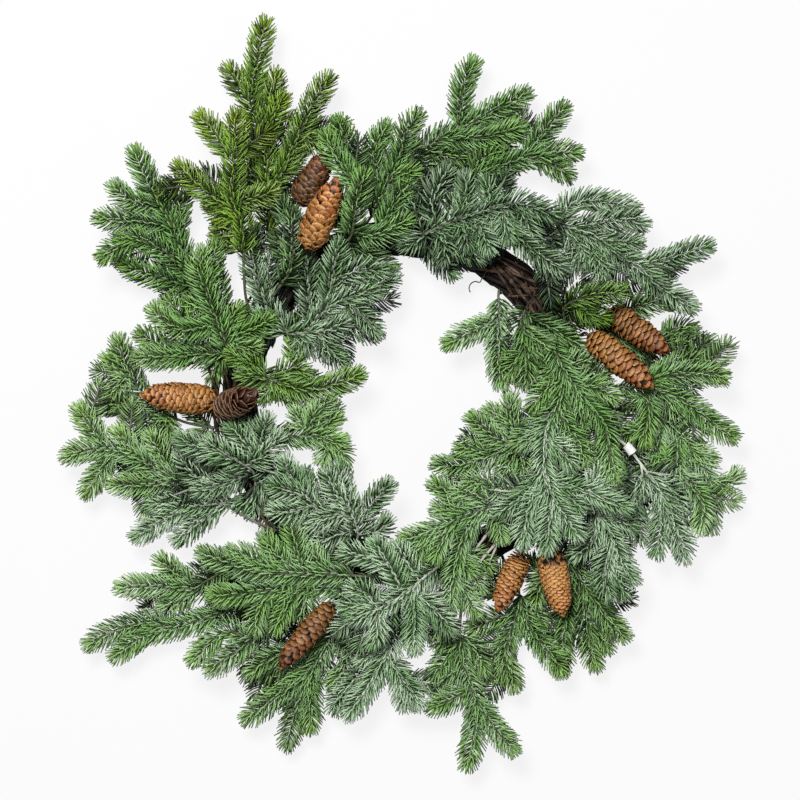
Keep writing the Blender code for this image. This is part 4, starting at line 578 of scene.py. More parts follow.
# Extra side twigs that fill the sprays out: spray, then rise for each millimetre of length and plan route
EXTRA_TWIGS = [
    ("spray_top_left_rear", [
        (0.0, [(-141, 268), (-130, 300), (-122, 336)]),
        (-0.1, [(-118, 225), (-100, 255), (-82, 292)]), (-0.1, [(-134, 215), (-148, 232), (-152, 262)])]),
    ("spray_top_left_front", [
        (-0.1, [(-160, 178), (-178, 186), (-198, 200)]),
        (-0.2, [(-158, 168), (-176, 172), (-190, 182)])]),
    ("spray_left_front_brush", [
        (-0.2, [(-174, 62), (-180, 100), (-186, 142)]),
        (0.0, [(-176, 55), (-155, 52), (-132, 56)]), (-0.2, [(-205, 60), (-222, 88), (-240, 106)]),
        (-0.1, [(-178, 66), (-166, 84), (-152, 98)])]),
    ("spray_upper_left_frosted", [
        (0.0, [(-128, 100), (-142, 125), (-147, 150), (-143, 180)]),
        (0.1, [(-66, 118), (-40, 128), (-6, 125)]), (-0.1, [(-72, 80), (-45, 72), (-16, 61)]),
        (-0.1, [(-100, 62), (-80, 52), (-52, 47)]), (0.1, [(-112, 66), (-130, 76), (-150, 92)])]),
    ("spray_left_inner_bright", [(-0.1, [(-128, 18), (-115, 7), (-96, 2)])]),
    ("spray_left_top", [(-0.1, [(-218, 150), (-236, 178), (-250, 206)])]),
    ("spray_left_far", [(-0.2, [(-245, -66), (-262, -78), (-286, -72)])]),
    ("spray_left_middle", [(0.1, [(-240, -12), (-232, -34), (-222, -46)])]),
    ("spray_left_front_frosted", [
        (0.0, [(-168, -56), (-196, -48), (-228, -34)]),
        (-0.2, [(-160, -72), (-190, -68), (-218, -62)]), (0.0, [(-128, -84), (-148, -98), (-172, -110)]),
        (0.1, [(-134, -60), (-136, -34), (-130, -8)]), (0.1, [(-150, -68), (-146, -44), (-152, -14)])]),
    ("spray_left_lower", [(0.0, [(-200, -106), (-228, -104), (-260, -106)])]),
    ("spray_left_inner", [
        (0.1, [(-86, -22), (-75, -5), (-58, 3)]),
        (0.0, [(-70, -40), (-58, -52), (-56, -74)])]),
    ("spray_lower_left_inner", [
        (0.1, [(-94, -100), (-108, -78), (-118, -50)]),
        (0.0, [(-47, -115), (-57, -86), (-64, -56)]), (0.1, [(-44, -128), (-66, -136), (-94, -146)]),
        (0.0, [(-60, -112), (-82, -120), (-112, -122)])]),
    ("spray_lower_left_long", [
        (0.0, [(-118, -172), (-145, -158), (-178, -148)]),
        (0.0, [(-106, -165), (-124, -150), (-136, -132)]),
        (-0.1, [(-72, -176), (-84, -158), (-88, -136)])]),
    ("spray_lower_left_upper", [
        (-0.1, [(-205, -193), (-225, -203), (-250, -208)]),
        (-0.1, [(-172, -180), (-186, -166), (-200, -150)])]),
    ("spray_bottom_left", [
        (0.1, [(-108, -260), (-135, -272), (-160, -274)]),
        (0.0, [(-88, -268), (-112, -278), (-138, -298)])]),
    ("spray_bottom_frosted_low", [
        (-0.2, [(-10, -250), (-36, -272), (-62, -300), (-66, -322)]),
        (0.0, [(-2, -256), (2, -285), (6, -316)]), (0.1, [(-12, -250), (-28, -254), (-48, -268)])]),
    ("spray_bottom_frosted_front", [
        (0.1, [(-10, -164), (-36, -154), (-66, -148)]),
        (0.0, [(18, -182), (6, -160), (-8, -136)]),
        (-0.1, [(12, -192), (32, -206), (48, -226), (52, -242)]),
        (0.1, [(-22, -205), (-36, -190), (-58, -184)]), (-0.1, [(-24, -206), (-22, -228), (-32, -252)])]),
    ("spray_lower_right_inner", [
        (-0.1, [(52, -190), (42, -216), (32, -244)]),
        (-0.2, [(60, -150), (74, -176), (84, -200)]), (0.1, [(54, -120), (42, -140), (32, -166)]),
        (0.0, [(36, -128), (18, -150), (8, -176)]), (0.1, [(90, -106), (70, -92), (46, -96)]),
        (0.0, [(60, -118), (44, -108), (26, -112)])]),
    ("spray_bottom_down", [
        (-0.2, [(66, -262), (50, -274), (28, -298)]),
        (0.0, [(60, -236), (76, -252), (88, -282)]), (0.0, [(62, -222), (46, -236), (34, -256)])]),
    ("spray_bottom_middle", [
        (0.0, [(110, -244), (96, -256), (86, -288)]),
        (0.0, [(120, -198), (134, -212), (148, -236)]), (0.1, [(118, -196), (100, -190), (76, -196)])]),
    ("spray_bottom_right", [
        (0.0, [(166, -156), (142, -182), (136, -216)]),
        (0.0, [(196, -200), (208, -222), (214, -248)])]),
    ("spray_lower_right_frosted", [
        (0.0, [(206, -160), (218, -182), (226, -204)]),
        (0.1, [(196, -112), (220, -120), (240, -134)]), (0.0, [(186, -100), (170, -118), (160, -140)])]),
    ("spray_right_taped", [
        (-0.1, [(241, -76), (232, -100), (238, -126), (241, -150)]),
        (-0.1, [(254, -82), (272, -92), (286, -120)])]),
    ("spray_right_outer", [
        (-0.1, [(248, -40), (236, -48), (222, -58), (206, -70)]),
        (-0.15, [(258, -56), (244, -64), (228, -70), (212, -80)])]),
    ("spray_right_upper", [(-0.2, [(228, -26), (220, -38), (212, -52)])]),
    ("spray_bottom_right", [(0.0, [(139, -190), (133, -172), (130, -150)])]),
    ("spray_left_inner_bright", [(-0.3, [(-124, 16), (-134, 6), (-146, -6)])]),
    ("spray_top_front", [(-0.2, [(-48, 166), (-58, 174), (-72, 182)])]),
    ("spray_right_centre", [
        (0.0, [(186, -90), (206, -78), (224, -64)]),
        (0.0, [(186, -92), (212, -102), (234, -110)]), (-0.1, [(148, -40), (166, -46), (186, -60)]),
        (0.0, [(146, -90), (166, -96), (186, -116)]), (-0.1, [(150, -24), (134, -36), (116, -54)])]),
    ("spray_right_main", [
        (0.0, [(156, 22), (140, 6), (127, -16)]),
        (-0.1, [(172, 14), (180, -10), (182, -40)]), (-0.1, [(160, 35), (146, 22), (138, 4)])]),
    ("spray_right_upper", [
        (0.0, [(250, 22), (285, 38), (320, 38)]),
        (-0.1, [(262, 8), (276, -10), (300, -22)])]),
    ("spray_right_outer", [
        (0.1, [(260, -18), (258, -44), (262, -74)]),
        (0.0, [(279, -60), (282, -85), (288, -114)]), (0.0, [(290, -48), (304, -54), (322, -66)])]),
    ("spray_right_inner_lower", [
        (0.0, [(116, -34), (100, -18), (80, -5)]),
        (-0.1, [(120, -48), (122, -68), (112, -90)]), (0.0, [(92, -56), (70, -48), (50, -52)])]),
    ("spray_right_inner_upper", [
        (-0.1, [(125, 60), (140, 46), (150, 24)]),
        (0.0, [(126, 50), (112, 34), (108, 14)])]),
    ("spray_upper_right", [
        (0.0, [(165, 172), (178, 150), (188, 126)]),
        (0.0, [(202, 158), (226, 157), (248, 160)]), (0.0, [(136, 176), (150, 160), (162, 142)]),
        (-0.1, [(240, 130), (256, 122), (276, 122)])]),
    ("spray_upper_frosted_stem", [
        (0.0, [(118, 192), (128, 168), (136, 150), (158, 112)]),
        (0.0, [(60, 180), (66, 204), (62, 232)]), (0.0, [(90, 190), (88, 208), (78, 226)]),
        (-0.1, [(26, 168), (14, 192), (4, 216)]), (0.0, [(88, 188), (82, 166), (92, 146)]),
        (0.0, [(60, 180), (70, 158), (76, 138)]), (0.1, [(36, 172), (44, 152), (40, 128)]),
        (0.0, [(30, 168), (14, 156), (-6, 152)])]),
    ("spray_top_front", [
        (-0.1, [(-24, 174), (-4, 200), (18, 230)]),
        (-0.1, [(-44, 180), (-58, 196), (-66, 220)]), (0.0, [(-40, 152), (-56, 140), (-70, 124)])]),
    ("spray_top_middle", [
        (-0.1, [(-12, 220), (6, 246), (24, 262)]),
        (-0.1, [(-32, 196), (-28, 220), (-42, 246)])]),
    ("spray_top_right", [
        (0.0, [(75, 280), (98, 272), (124, 286)]),
        (-0.1, [(14, 238), (34, 236), (56, 226)])]),
    ("spray_top_right_outer", [
        (0.0, [(70, 218), (84, 240), (112, 254)]),
        (-0.1, [(62, 212), (50, 222), (44, 240)])]),
    ("spray_upper_right_bright", [(0.0, [(172, 96), (184, 88), (198, 70)])]),
    ("spray_right_tip", [
        (0.0, [(260, 57), (280, 72), (304, 70)]),
        (-0.1, [(215, 66), (228, 52), (250, 42)])]),
    ("spray_left_middle", [
        (-0.1, [(-192, -28), (-204, -14), (-224, -4)]),
        (-0.1, [(-196, -28), (-210, -42), (-230, -48)]), (0.1, [(-268, -12), (-286, -2), (-306, 10)])]),
    ("spray_left_far", [(-0.3, [(-186, -84), (-190, -56), (-196, -26)])]),
    ("spray_top_left_rear", [(-0.1, [(-98, 262), (-84, 258), (-68, 266)])]),
    ("spray_top_front", [(-0.2, [(-58, 218), (-68, 246), (-76, 274)])]),
    ("spray_lower_left_long", [
        (-0.3, [(-92, -170), (-94, -196), (-98, -230)]),
        (-0.3, [(-112, -172), (-120, -198), (-130, -226)])]),
    ("spray_right_upper", [(-0.3, [(246, 6), (234, -2), (220, -14)])]),
    ("spray_right_main", [
        (-0.3, [(174, 16), (194, 24), (218, 30)]),
        (-0.3, [(160, 32), (178, 38), (204, 36)])]),
    ("spray_left_front_brush", [
        (-0.4, [(-176, 50), (-184, 34), (-188, 10)]),
        (0.0, [(-188, 110), (-186, 136), (-180, 164)]), (-0.2, [(-186, 88), (-200, 92), (-222, 102)])]),
    ("spray_top_left_front", [
        (-0.3, [(-156, 148), (-172, 160), (-194, 172)]),
        (-0.2, [(-157, 170), (-174, 194), (-186, 218)])]),
    ("spray_lower_right_inner", [
        (-0.2, [(60, -176), (68, -196), (80, -224)]),
        (0.3, [(90, -106), (98, -124), (102, -148)]), (-0.3, [(62, -150), (82, -160), (100, -174)])]),
    ("spray_bottom_middle", [(-0.3, [(112, -192), (100, -178), (86, -160)])]),
    ("spray_top_left_inner", [
        (-0.1, [(-108, 166), (-114, 188), (-122, 208)]),
        (-0.2, [(-108, 138), (-118, 154), (-130, 172)])]),
    ("spray_upper_left_frosted", [
        (-0.1, [(-82, 56), (-66, 44), (-46, 34)]),
        (0.0, [(-38, 106), (-20, 116), (4, 124)]), (-0.3, [(-96, 64), (-100, 50), (-96, 36)])]),
    ("spray_left_top", [(-0.1, [(-234, 188), (-234, 206), (-228, 226)])]),
    ("spray_upper_right", [
        (-0.3, [(170, 148), (162, 126), (152, 106)]),
        (-0.1, [(198, 152), (200, 134), (204, 114)])]),
    ("spray_right_inner_lower", [(-0.1, [(120, -56), (108, -68), (94, -86)])]),
    ("spray_left_inner", [(0.0, [(-96, -32), (-102, -16), (-108, 0)])]),
    ("spray_upper_frosted_stem", [
        (0.2, [(104, 190), (104, 172), (110, 148)]),
        (0.3, [(72, 178), (84, 160), (92, 138)]), (0.3, [(60, 178), (66, 160), (68, 140)])]),
    ("spray_right_tip", [(-0.3, [(234, 62), (246, 48), (260, 34)])]),
    ("spray_right_outer", [(-0.2, [(262, -28), (250, -42), (238, -56)])]),
    ("spray_bottom_frosted_front", [(0.0, [(-28, -196), (-46, -204), (-64, -212)])]),
    ("spray_lower_left_long", [(-0.2, [(-118, -164), (-130, -148), (-138, -126)])]),
    ("spray_bottom_right", [(0.0, [(198, -222), (204, -240), (212, -260)])]),
    ("spray_top_right_outer", [(-0.3, [(44, 208), (28, 214), (14, 226)])]),
    ("spray_left_front_frosted", [
        (0.0, [(-136, -94), (-146, -108), (-156, -122)]),
        (0.3, [(-132, -76), (-128, -94), (-120, -112)])]),
    ("spray_lower_left_inner", [
        (0.35, [(-92, -98), (-112, -90), (-136, -82)]),
        (0.3, [(-88, -108), (-112, -112), (-136, -106)])]),
    ("spray_left_inner_bright", [
        (0.25, [(-134, 24), (-152, 38), (-178, 52)]),
        (0.2, [(-130, 16), (-146, 22), (-168, 30)])]),
    ("spray_lower_right_frosted", [(0.2, [(156, -108), (132, -118), (112, -134)])]),
    ("spray_right_centre", [
        (0.2, [(150, -40), (164, -54), (172, -76)]),
        (-0.2, [(190, -92), (206, -86), (226, -90)])]),
    ("spray_right_main", [
        (-0.35, [(182, -2), (198, -20), (214, -42)]),
        (-0.3, [(180, 2), (200, -8), (224, -22)])]),
    ("spray_right_centre", [(-0.1, [(188, -88), (200, -68), (210, -46)])]),
    ("spray_bottom_left", [(-0.2, [(-92, -262), (-104, -246), (-112, -226)])]),
    ("spray_left_inner_bright", [(-0.2, [(-106, 32), (-104, 60), (-108, 90)])]),
    ("spray_right_outer", [(-0.3, [(262, -26), (244, -34), (228, -38)])]),
    ("spray_left_middle", [(0.0, [(-272, 30), (-284, 14), (-304, 0)])]),
]


def frame_matrix():
    """From working millimetres to the row frame in metres, by the middle of the canes' box."""
    boxes = [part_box("vine_cane_%d" % (k + 1)) for k in range(CANE_COUNT)]
    middle = [(min(b[0][k] for b in boxes) + max(b[1][k] for b in boxes)) / 2 for k in range(2)]
    shift = Vector((middle[0] - RING_MIDDLE[0] * MM, middle[1] - RING_MIDDLE[1] * MM, 0.0))
    return Matrix.Translation(shift) @ Matrix.Diagonal((MM, MM, MM, 1.0))


TO_ROW = frame_matrix()


def finish_piece(name, bm, materials, nodes):
    """Make a finished piece of a mesh in working millimetres."""
    for vert in bm.verts:
        vert.co.z = max(vert.co.z, 0.0)
    bmesh.ops.transform(bm, matrix=TO_ROW, verts=bm.verts[:])
    mesh = bpy.data.meshes.new(name)
    bm.to_mesh(mesh)
    bm.free()
    for material in materials:
        mesh.materials.append(material)
    mesh.shade_smooth()
    piece = bpy.data.objects.new(name, mesh)
    bpy.context.scene.collection.objects.link(piece)
    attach(piece, "root")
    if nodes:
        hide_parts(*nodes)
    return piece


def join_mesh(bm, other):
    """Add another mesh to this one."""
    mesh = bpy.data.meshes.new("joined")
    other.to_mesh(mesh)
    other.free()
    bm.from_mesh(mesh)
    bpy.data.meshes.remove(mesh)


def search_tree(spots):
    """A tree that finds the nearest of many spots."""
    tree = KDTree(len(spots))
    for number, spot in enumerate(spots):
        tree.insert(spot, number)
    tree.balance()
    return tree


def clamp(value):
    """A value kept between 0 and 1."""
    return min(1.0, max(0.0, value))


class Blank:
    """A small mesh that is repeated: each copy is stamped into a larger mesh with its own look."""

    def __init__(self, name, bm):
        self.mesh = bpy.data.meshes.new(name)
        bm.to_mesh(self.mesh)
        bm.free()
        count = len(self.mesh.vertices)
        self.rest = np.zeros(count * 3, dtype=np.float32)
        self.mesh.vertices.foreach_get("co", self.rest)
        self.look = np.zeros(count * 4, dtype=np.float32)
        self.mesh.attributes["look"].data.foreach_get("color", self.look)

    def stamp(self, bm, matrix, tone, growth, frost):
        look = self.look.reshape(-1, 4).copy()
        look[:, 0] = tone
        look[:, 1] = growth
        look[:, 2] = frost
        self.mesh.transform(matrix)
        self.mesh.attributes["look"].data.foreach_set("color", look.ravel())
        bm.from_mesh(self.mesh)
        self.mesh.vertices.foreach_set("co", self.rest)


def look_layer(bm):
    """The colour layer that every piece's material reads: tone, growth, frost and place along."""
    return bm.verts.layers.float_color.get("look") or bm.verts.layers.float_color.new("look")


def new_mesh():
    """An empty mesh with its colour layer."""
    bm = bmesh.new()
    look_layer(bm)
    return bm


# Needles as they look: millimetres and degrees
NEEDLE_BOW = 2.4
NEEDLE_FLATNESS = 0.5
NEEDLE_WIDTH = 1.45
NEEDLE_SIDES = 3
NEEDLE_ENDS = (0.34, 0.40)
NEEDLE_CUT = 0.6
NEEDLE_BELLY = 1.7
NEEDLE_REACH = 18.9
NEEDLE_PITCH = 2.8
NEEDLE_START = 3.0
NEEDLE_LEAN = 60.0
TOP_LEAN = 10.0
NEEDLE_WANDER = 3.5
PITCH_WANDER = 0.5
LENGTH_SPREAD = (0.90, 1.04)
NEEDLE_ROLL = 0.3
UPRIGHT = 0.2
LOWEST_TIP = 1.0
# within this reach of a twig's tip its needles lean less and are shorter, by these shares
TIP_ZONE = 16.0
TIP_CLOSING = 0.30
TIP_SHORTENING = 0.26
# the blunt tuft at a twig's tip
TUFT_COUNT = 14
TUFT_REACH = 14.0
TUFT_SPREAD = (0.9, 1.05)
TUFT_TURN = 2.4
TUFT_FLATNESS = 0.6
TUFT_LEAN, TUFT_FAN = 4.0, 52.0
TUFT_DEPTH = 2.5
TUFT_TONE, TUFT_TONE_SPREAD = 0.60, 0.20
# tone, frost and young growth
MIDDLE_TONE = 0.52
TONE_SPREAD = 0.34
TWIG_TONE_SPREAD = 0.10
TWIG_FROST_SPREAD = 0.15
# painted shade and light: needles low in the wreath darker, high ones lighter
TONE_HEIGHTS = (15.0, 75.0)
PAINTED_HEIGHT_SHADES = (-0.16, 0.12)
GROWTH_ZONE = 40.0
OLD_GROWTH = 0.25
GROWTH_SPREAD = 0.12
# places of the tape and its bare stem that no needle over them hides: middle and radius
CLEAR_HEIGHT = 47.5
CLEAR_PLACES = [(224, -44, 6.0), (233, -54, 3.2), (240, -64, 3.0), (246, -72, 2.5)]
CLEAR_SEARCH = 30.0
# painted shade: how twigs that pass over a place darken the needles under them
COVER_STEP = 4.0
COVER_REACH, COVER_RISE, COVER_FULL = 13.0, 5.0, 9.0
COVER_SHADE = 0.50
# azimuth round the twig (0 is its right side, 90 its top), spread, every how many places, shift along in
# places, share of the full length, and tone shift: painted light and shade, upper rows lighter, under rows
# darker
NEEDLE_ROWS = [(2, 6, 1, 0.0, 1.0, 0.04), (178, 6, 1, 0.5, 1.0, 0.04), (32, 8, 2, 0.5, 0.90, 0.16),
               (148, 8, 2, 0.0, 0.90, 0.16), (66, 12, 3, 1.5, 0.68, 0.26), (114, 12, 3, 0.0, 0.68, 0.26),
               (-32, 9, 1, 0.3, 0.96, -0.42), (212, 9, 1, 0.8, 0.96, -0.42)]
# the rows that low twigs keep, and how much darker their needles are painted, as shade under the sprays above
LOW_ROWS = (0, 1, 6, 7)
LOW_SHADE = 0.26


def needle_blank():
    """A flat blunt fir needle along +Z, one unit long and one unit wide, bowed towards +X."""
    bm = bmesh.new()
    layer = look_layer(bm)
    bmesh.ops.create_cone(bm, cap_ends=True, segments=NEEDLE_SIDES, radius1=NEEDLE_ENDS[0],
                          radius2=NEEDLE_ENDS[1], depth=1.0, matrix=Matrix.Translation((0.0, 0.0, 0.5)))
    bmesh.ops.bisect_plane(bm, geom=bm.verts[:] + bm.edges[:] + bm.faces[:],
                           plane_co=(0.0, 0.0, NEEDLE_CUT), plane_no=(0.0, 0.0, 1.0))
    for vert in bm.verts:
        height = vert.co.z
        if 0.1 < height < 0.9:
            vert.co.x *= NEEDLE_BELLY
            vert.co.y *= NEEDLE_BELLY
        vert.co.x += NEEDLE_BOW * height * height
        vert[layer] = (0.0, 0.0, 0.0, height)
    return Blank("needle_blank", bm)


def needle_matrix(root, direction, heading, length, roll):
    """Place of one needle: along direction, its flat side up as far as it can be, bowed towards heading."""
    flat = Vector((0.0, 0.0, 1.0)) - direction * direction.z
    if flat.length < UPRIGHT:
        flat = heading - direction * heading.dot(direction)
    flat = Matrix.Rotation(roll, 3, direction) @ flat.normalized()
    across = flat.cross(direction)
    if across.dot(heading) < 0.0:
        across, flat = -across, -flat
    turn = Matrix((across * NEEDLE_WIDTH, flat * NEEDLE_WIDTH * NEEDLE_FLATNESS, direction * length))
    return Matrix.Translation(root) @ turn.transposed().to_4x4()


def twig_frame(twig, place):
    """Heading, right side and upper side of a twig at a place."""
    heading = twig.heading(place)
    side = heading.cross(Vector((0.0, 0.0, 1.0))).normalized()
    return heading, side, side.cross(heading)


def hides_tape(root, tip):
    """Whether a needle would lie over the tape or its bare stem."""
    if tip.z < CLEAR_HEIGHT:
        return False
    for x, y, reach in CLEAR_PLACES:
        if abs(root.x - x) < CLEAR_SEARCH and abs(root.y - y) < CLEAR_SEARCH:
            spots = [root.lerp(tip, share) for share in (0.4, 0.7, 1.0)]
            if min(math.hypot(spot.x - x, spot.y - y) for spot in spots) < reach:
                return True
    return False


def set_needle(bm, blank, root, heading, radial, lean, length, look, chance):
    """Stamp a needle that leaves root at an angle to the heading, kept above the surface and off the tape."""
    direction = heading * math.cos(lean) + radial * math.sin(lean)
    if hides_tape(root, root + direction * length):
        return
    if root.z + direction.z * length < LOWEST_TIP:
        direction.z = (LOWEST_TIP - root.z) / length
        direction.normalize()
    matrix = needle_matrix(root, direction, heading, length, chance.uniform(-NEEDLE_ROLL, NEEDLE_ROLL))
    blank.stamp(bm, matrix, *look)


def look_over(twigs):
    """A search tree over all twigs seen from above, and their heights."""
    spots = [twig.point(place) for twig in twigs
             for place in np.arange(COVER_STEP / 2, twig.length, COVER_STEP)]
    return search_tree([(spot.x, spot.y, 0.0) for spot in spots]), [spot.z for spot in spots]


def cover_share(cover, spot):
    """How much a place is covered by twigs that pass over it, 0 to 1."""
    tree, heights = cover
    found = tree.find_range((spot.x, spot.y, 0.0), COVER_REACH)
    return min(1.0, sum(heights[number] > spot.z + COVER_RISE for _, number, _ in found) / COVER_FULL)


def dress_twig(bm, twig, blank, family_look, cover, chance):
    """Set needles along a twig like combs, fanning forwards over its blunt tip."""
    tone_shift, growth, frost = family_look
    # low twigs are painted darker, as shade under the sprays above
    tone_shift += chance.uniform(-TWIG_TONE_SPREAD, TWIG_TONE_SPREAD) - LOW_SHADE * twig.low
    frost = clamp(frost + chance.uniform(-TWIG_FROST_SPREAD, TWIG_FROST_SPREAD))
    rows = [NEEDLE_ROWS[k] for k in LOW_ROWS] if twig.low else NEEDLE_ROWS
    start = max(twig.bare, NEEDLE_START)
    for step in range(int((twig.length - start) / NEEDLE_PITCH) + 1):
        # painted shade from the twigs that pass over this place
        shade = COVER_SHADE * cover_share(cover, twig.point(start + step * NEEDLE_PITCH))
        # each row's tone shift is painted light and shade by the way its needles face
        for azimuth, spread, every, shift, share, row_painted_shade in rows:
            if step % every:
                continue
            place = start + (step + shift) * NEEDLE_PITCH + chance.uniform(-PITCH_WANDER, PITCH_WANDER)
            if place > twig.length:
                continue
            heading, side, up = twig_frame(twig, place)
            left = twig.length - place
            turn = math.radians(azimuth + chance.uniform(-spread, spread))
            radial = side * math.cos(turn) + up * math.sin(turn)
            near_tip = max(0.0, 1.0 - left / TIP_ZONE)
            lean = (NEEDLE_LEAN - TOP_LEAN * max(0.0, math.sin(turn))) * (1.0 - TIP_CLOSING * near_tip ** 2)
            lean = math.radians(lean + chance.uniform(-NEEDLE_WANDER, NEEDLE_WANDER))
            length = NEEDLE_REACH * share * (1.0 - TIP_SHORTENING * near_tip) * chance.uniform(*LENGTH_SPREAD)
            root = twig.point(place)
            # painted shade and light by the needle's height
            height_shade = float(np.interp(root.z, TONE_HEIGHTS, PAINTED_HEIGHT_SHADES))
            tone = MIDDLE_TONE + tone_shift + row_painted_shade + height_shade - shade
            tone += chance.uniform(-TONE_SPREAD, TONE_SPREAD)
            fresh = growth * (OLD_GROWTH + (1.0 - OLD_GROWTH) * max(0.0, 1.0 - left / GROWTH_ZONE))
            fresh += chance.uniform(0.0, GROWTH_SPREAD)
            look = (clamp(tone), min(1.0, fresh), frost)
            set_needle(bm, blank, root, heading, radial, lean, length, look, chance)
    heading, side, up = twig_frame(twig, twig.length)
    for k in range(0, TUFT_COUNT, 2 if twig.low else 1):
        turn = TUFT_TURN * k
        radial = side * math.cos(turn) + up * TUFT_FLATNESS * math.sin(turn)
        lean = math.radians(TUFT_LEAN + TUFT_FAN * math.sqrt(k / TUFT_COUNT))
        tone = TUFT_TONE + tone_shift + chance.uniform(-TUFT_TONE_SPREAD, TUFT_TONE_SPREAD)
        root = twig.point(twig.length - chance.uniform(0.0, TUFT_DEPTH))
        length = TUFT_REACH * chance.uniform(*TUFT_SPREAD)
        set_needle(bm, blank, root, heading, radial, lean, length, (clamp(tone), growth, frost), chance)


CAP_DEPTH = 0.05
# lumps of a rough bar: round it and along it
ROUND_LUMPS, ALONG_LUMPS = 1.6, 0.09


def bent_strip(bm, spots, radii, sides, look, roughness=0.0, seed=0.0):
    """A round bar through the spots: a grid rolled up, with U round it and V along it."""
    layer = look_layer(bm)
    grid = bmesh.ops.create_grid(bm, x_segments=sides, y_segments=len(spots) - 1, size=0.5, calc_uvs=True)
    directions = headings(spots)
    across = directions[0].orthogonal().normalized()
    frames = []
    for direction in directions:
        across = (across - direction * across.dot(direction)).normalized()
        frames.append((across.copy(), direction.cross(across)))
    for vert in grid["verts"]:
        row = min(int(round((vert.co.y + 0.5) * (len(spots) - 1))), len(spots) - 1)
        angle = (vert.co.x + 0.5) * 2.0 * math.pi
        side = frames[row][0] * math.cos(angle) + frames[row][1] * math.sin(angle)
        radius = radii[row]
        if roughness:
            sample = side * ROUND_LUMPS + Vector((seed, row * ALONG_LUMPS, 0.0))
            radius *= 1.0 + roughness * noise.noise(sample)
        vert.co = spots[row] + side * radius
        vert[layer] = (*look, row / (len(spots) - 1))
    bmesh.ops.remove_doubles(bm, verts=grid["verts"], dist=1e-4)


def capped(spots, radii, end_radius=0.0):
    """The same spots and radii with a cap close to each end."""
    first = (spots[0] - spots[1]).normalized() * CAP_DEPTH
    last = (spots[-1] - spots[-2]).normalized() * CAP_DEPTH
    return [spots[0] + first] + spots + [spots[-1] + last], [end_radius] + radii + [end_radius]


FOOT_SHARES = (0.02, 0.5)
TWIG_SIDES = 6
TWIG_ROUGHNESS = 0.25
BLUNT_END = 0.4


def foot_spots(twig, cane_tree):
    """The bare foot of a spray's stem, from the cane that carries it to the stem's first bead."""
    start = twig.point(0.0)
    seat, _, _, _ = cane_tree.find_nearest(start)
    return [seat.lerp(start, share) for share in FOOT_SHARES]


def bark_twig(bm, twig, frost, cane_tree):
    """The woody core of a twig, tapering to its tip."""
    spots = [Vector(bead) for bead in twig.beads]
    thick = SIDE_TWIG_RADIUS
    if twig.parent is None:
        spots = foot_spots(twig, cane_tree) + spots
        thick = STEM_RADIUS
    if SPRAYS[twig.spray][0] == TAPE_SPRAY:
        thick = TAPED_STEM_RADIUS if twig.parent is None else thick
        frost = 1.0
    radii = [float(np.interp(k, [0, len(spots) - 1], [thick, TWIG_TIP_RADIUS])) for k in range(len(spots))]
    ways = headings(spots)
    spots = [spots[0] - ways[0] * CAP_DEPTH] + spots + [spots[-1] + ways[-1] * BLUNT_END]
    look = (0.5, 0.0, frost)
    bent_strip(bm, spots, [0.0] + radii + [0.0], TWIG_SIDES, look, TWIG_ROUGHNESS, twig.spray * 3.7)


def cane_mesh_tree():
    """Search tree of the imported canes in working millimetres."""
    bm = bmesh.new()
    for k in range(CANE_COUNT):
        bm.from_mesh(frame["nodes"]["vine_cane_%d" % (k + 1)].data)
    bmesh.ops.transform(bm, matrix=TO_ROW.inverted(), verts=bm.verts[:])
    tree = BVHTree.FromBMesh(bm)
    bm.free()
    return tree


# How extra twigs settle, and where low twigs grow: millimetres
EXTRA_ROUNDS = 25
UNDER_STEP = 20.0
UNDER_FIRST = 10.0
UNDER_LAST = 14.0
UNDER_LENGTH = 38.0
UNDER_TURN = math.radians(48.0)
UNDER_DROP = 13.0
UNDER_LOWEST = 7.0
UNDER_BEADS = 6
PROBE_SHARE = 0.65
UNDER_REACH = 15.0
UNDER_GAP = 6.0
UNDER_APART = 15.0
UNDER_TOUCH = 0.5
# left, bottom, right, top of places where the surface shows between the sprays
OPEN_PLACES = [(-140, 36, -114, 64), (-98, 26, -72, 48), (-142, -26, -100, -2), (-120, -66, -80, -20),
               (160, 112, 192, 150), (-206, 96, -156, 196), (-194, -150, -136, -112), (20, -220, 40, -196),
               (-220, 150, -196, 176), (24, 262, 60, 300)]


def lay_extra_twigs(twigs):
    """The extra side twigs, each grown from the nearest place on its spray and bent clear of the cones."""
    grown = []
    for name, branches in EXTRA_TWIGS:
        number = next(k for k, row in enumerate(SPRAYS) if row[0] == name)
        family = [t for t in twigs if t.spray == number]
        for rise, route in branches:
            gaps = [np.linalg.norm(t.beads[:-1, :2] - np.array(route[0]), axis=1) for t in family]
            parent = min(range(len(family)), key=lambda k: gaps[k].min())
            join = int(np.argmin(gaps[parent]))
            base = family[parent].beads[join]
            flat = even_points([(x, y, 0.0) for x, y in route], BEAD_STEP)
            share = np.linspace(0.0, 1.0, len(flat))
            flat[:, :2] += (base[:2] - flat[0, :2]) * (1.0 - share[:, None]) ** 2
            flat[:, 2] = base[2] + rise * len(flat) * BEAD_STEP * share
            twig = Twig(number, flat, family[parent], join)
            loose = np.clip(twig.places / STIFF_ROOT, 0.0, 1.0)[:, None]
            for _ in range(EXTRA_ROUNDS):
                moves = push_from_cones(twig.beads) + push_from_bundle(twig.beads)
                moves[:, 2] += np.clip(FLOOR_HEIGHT - twig.beads[:, 2], 0.0, None)
                moves[1:-1] = (moves[:-2] + 2 * moves[1:-1] + moves[2:]) / 4
                twig.beads = twig.beads + moves * loose
            twig.measure()
            grown.append(twig)
    return grown


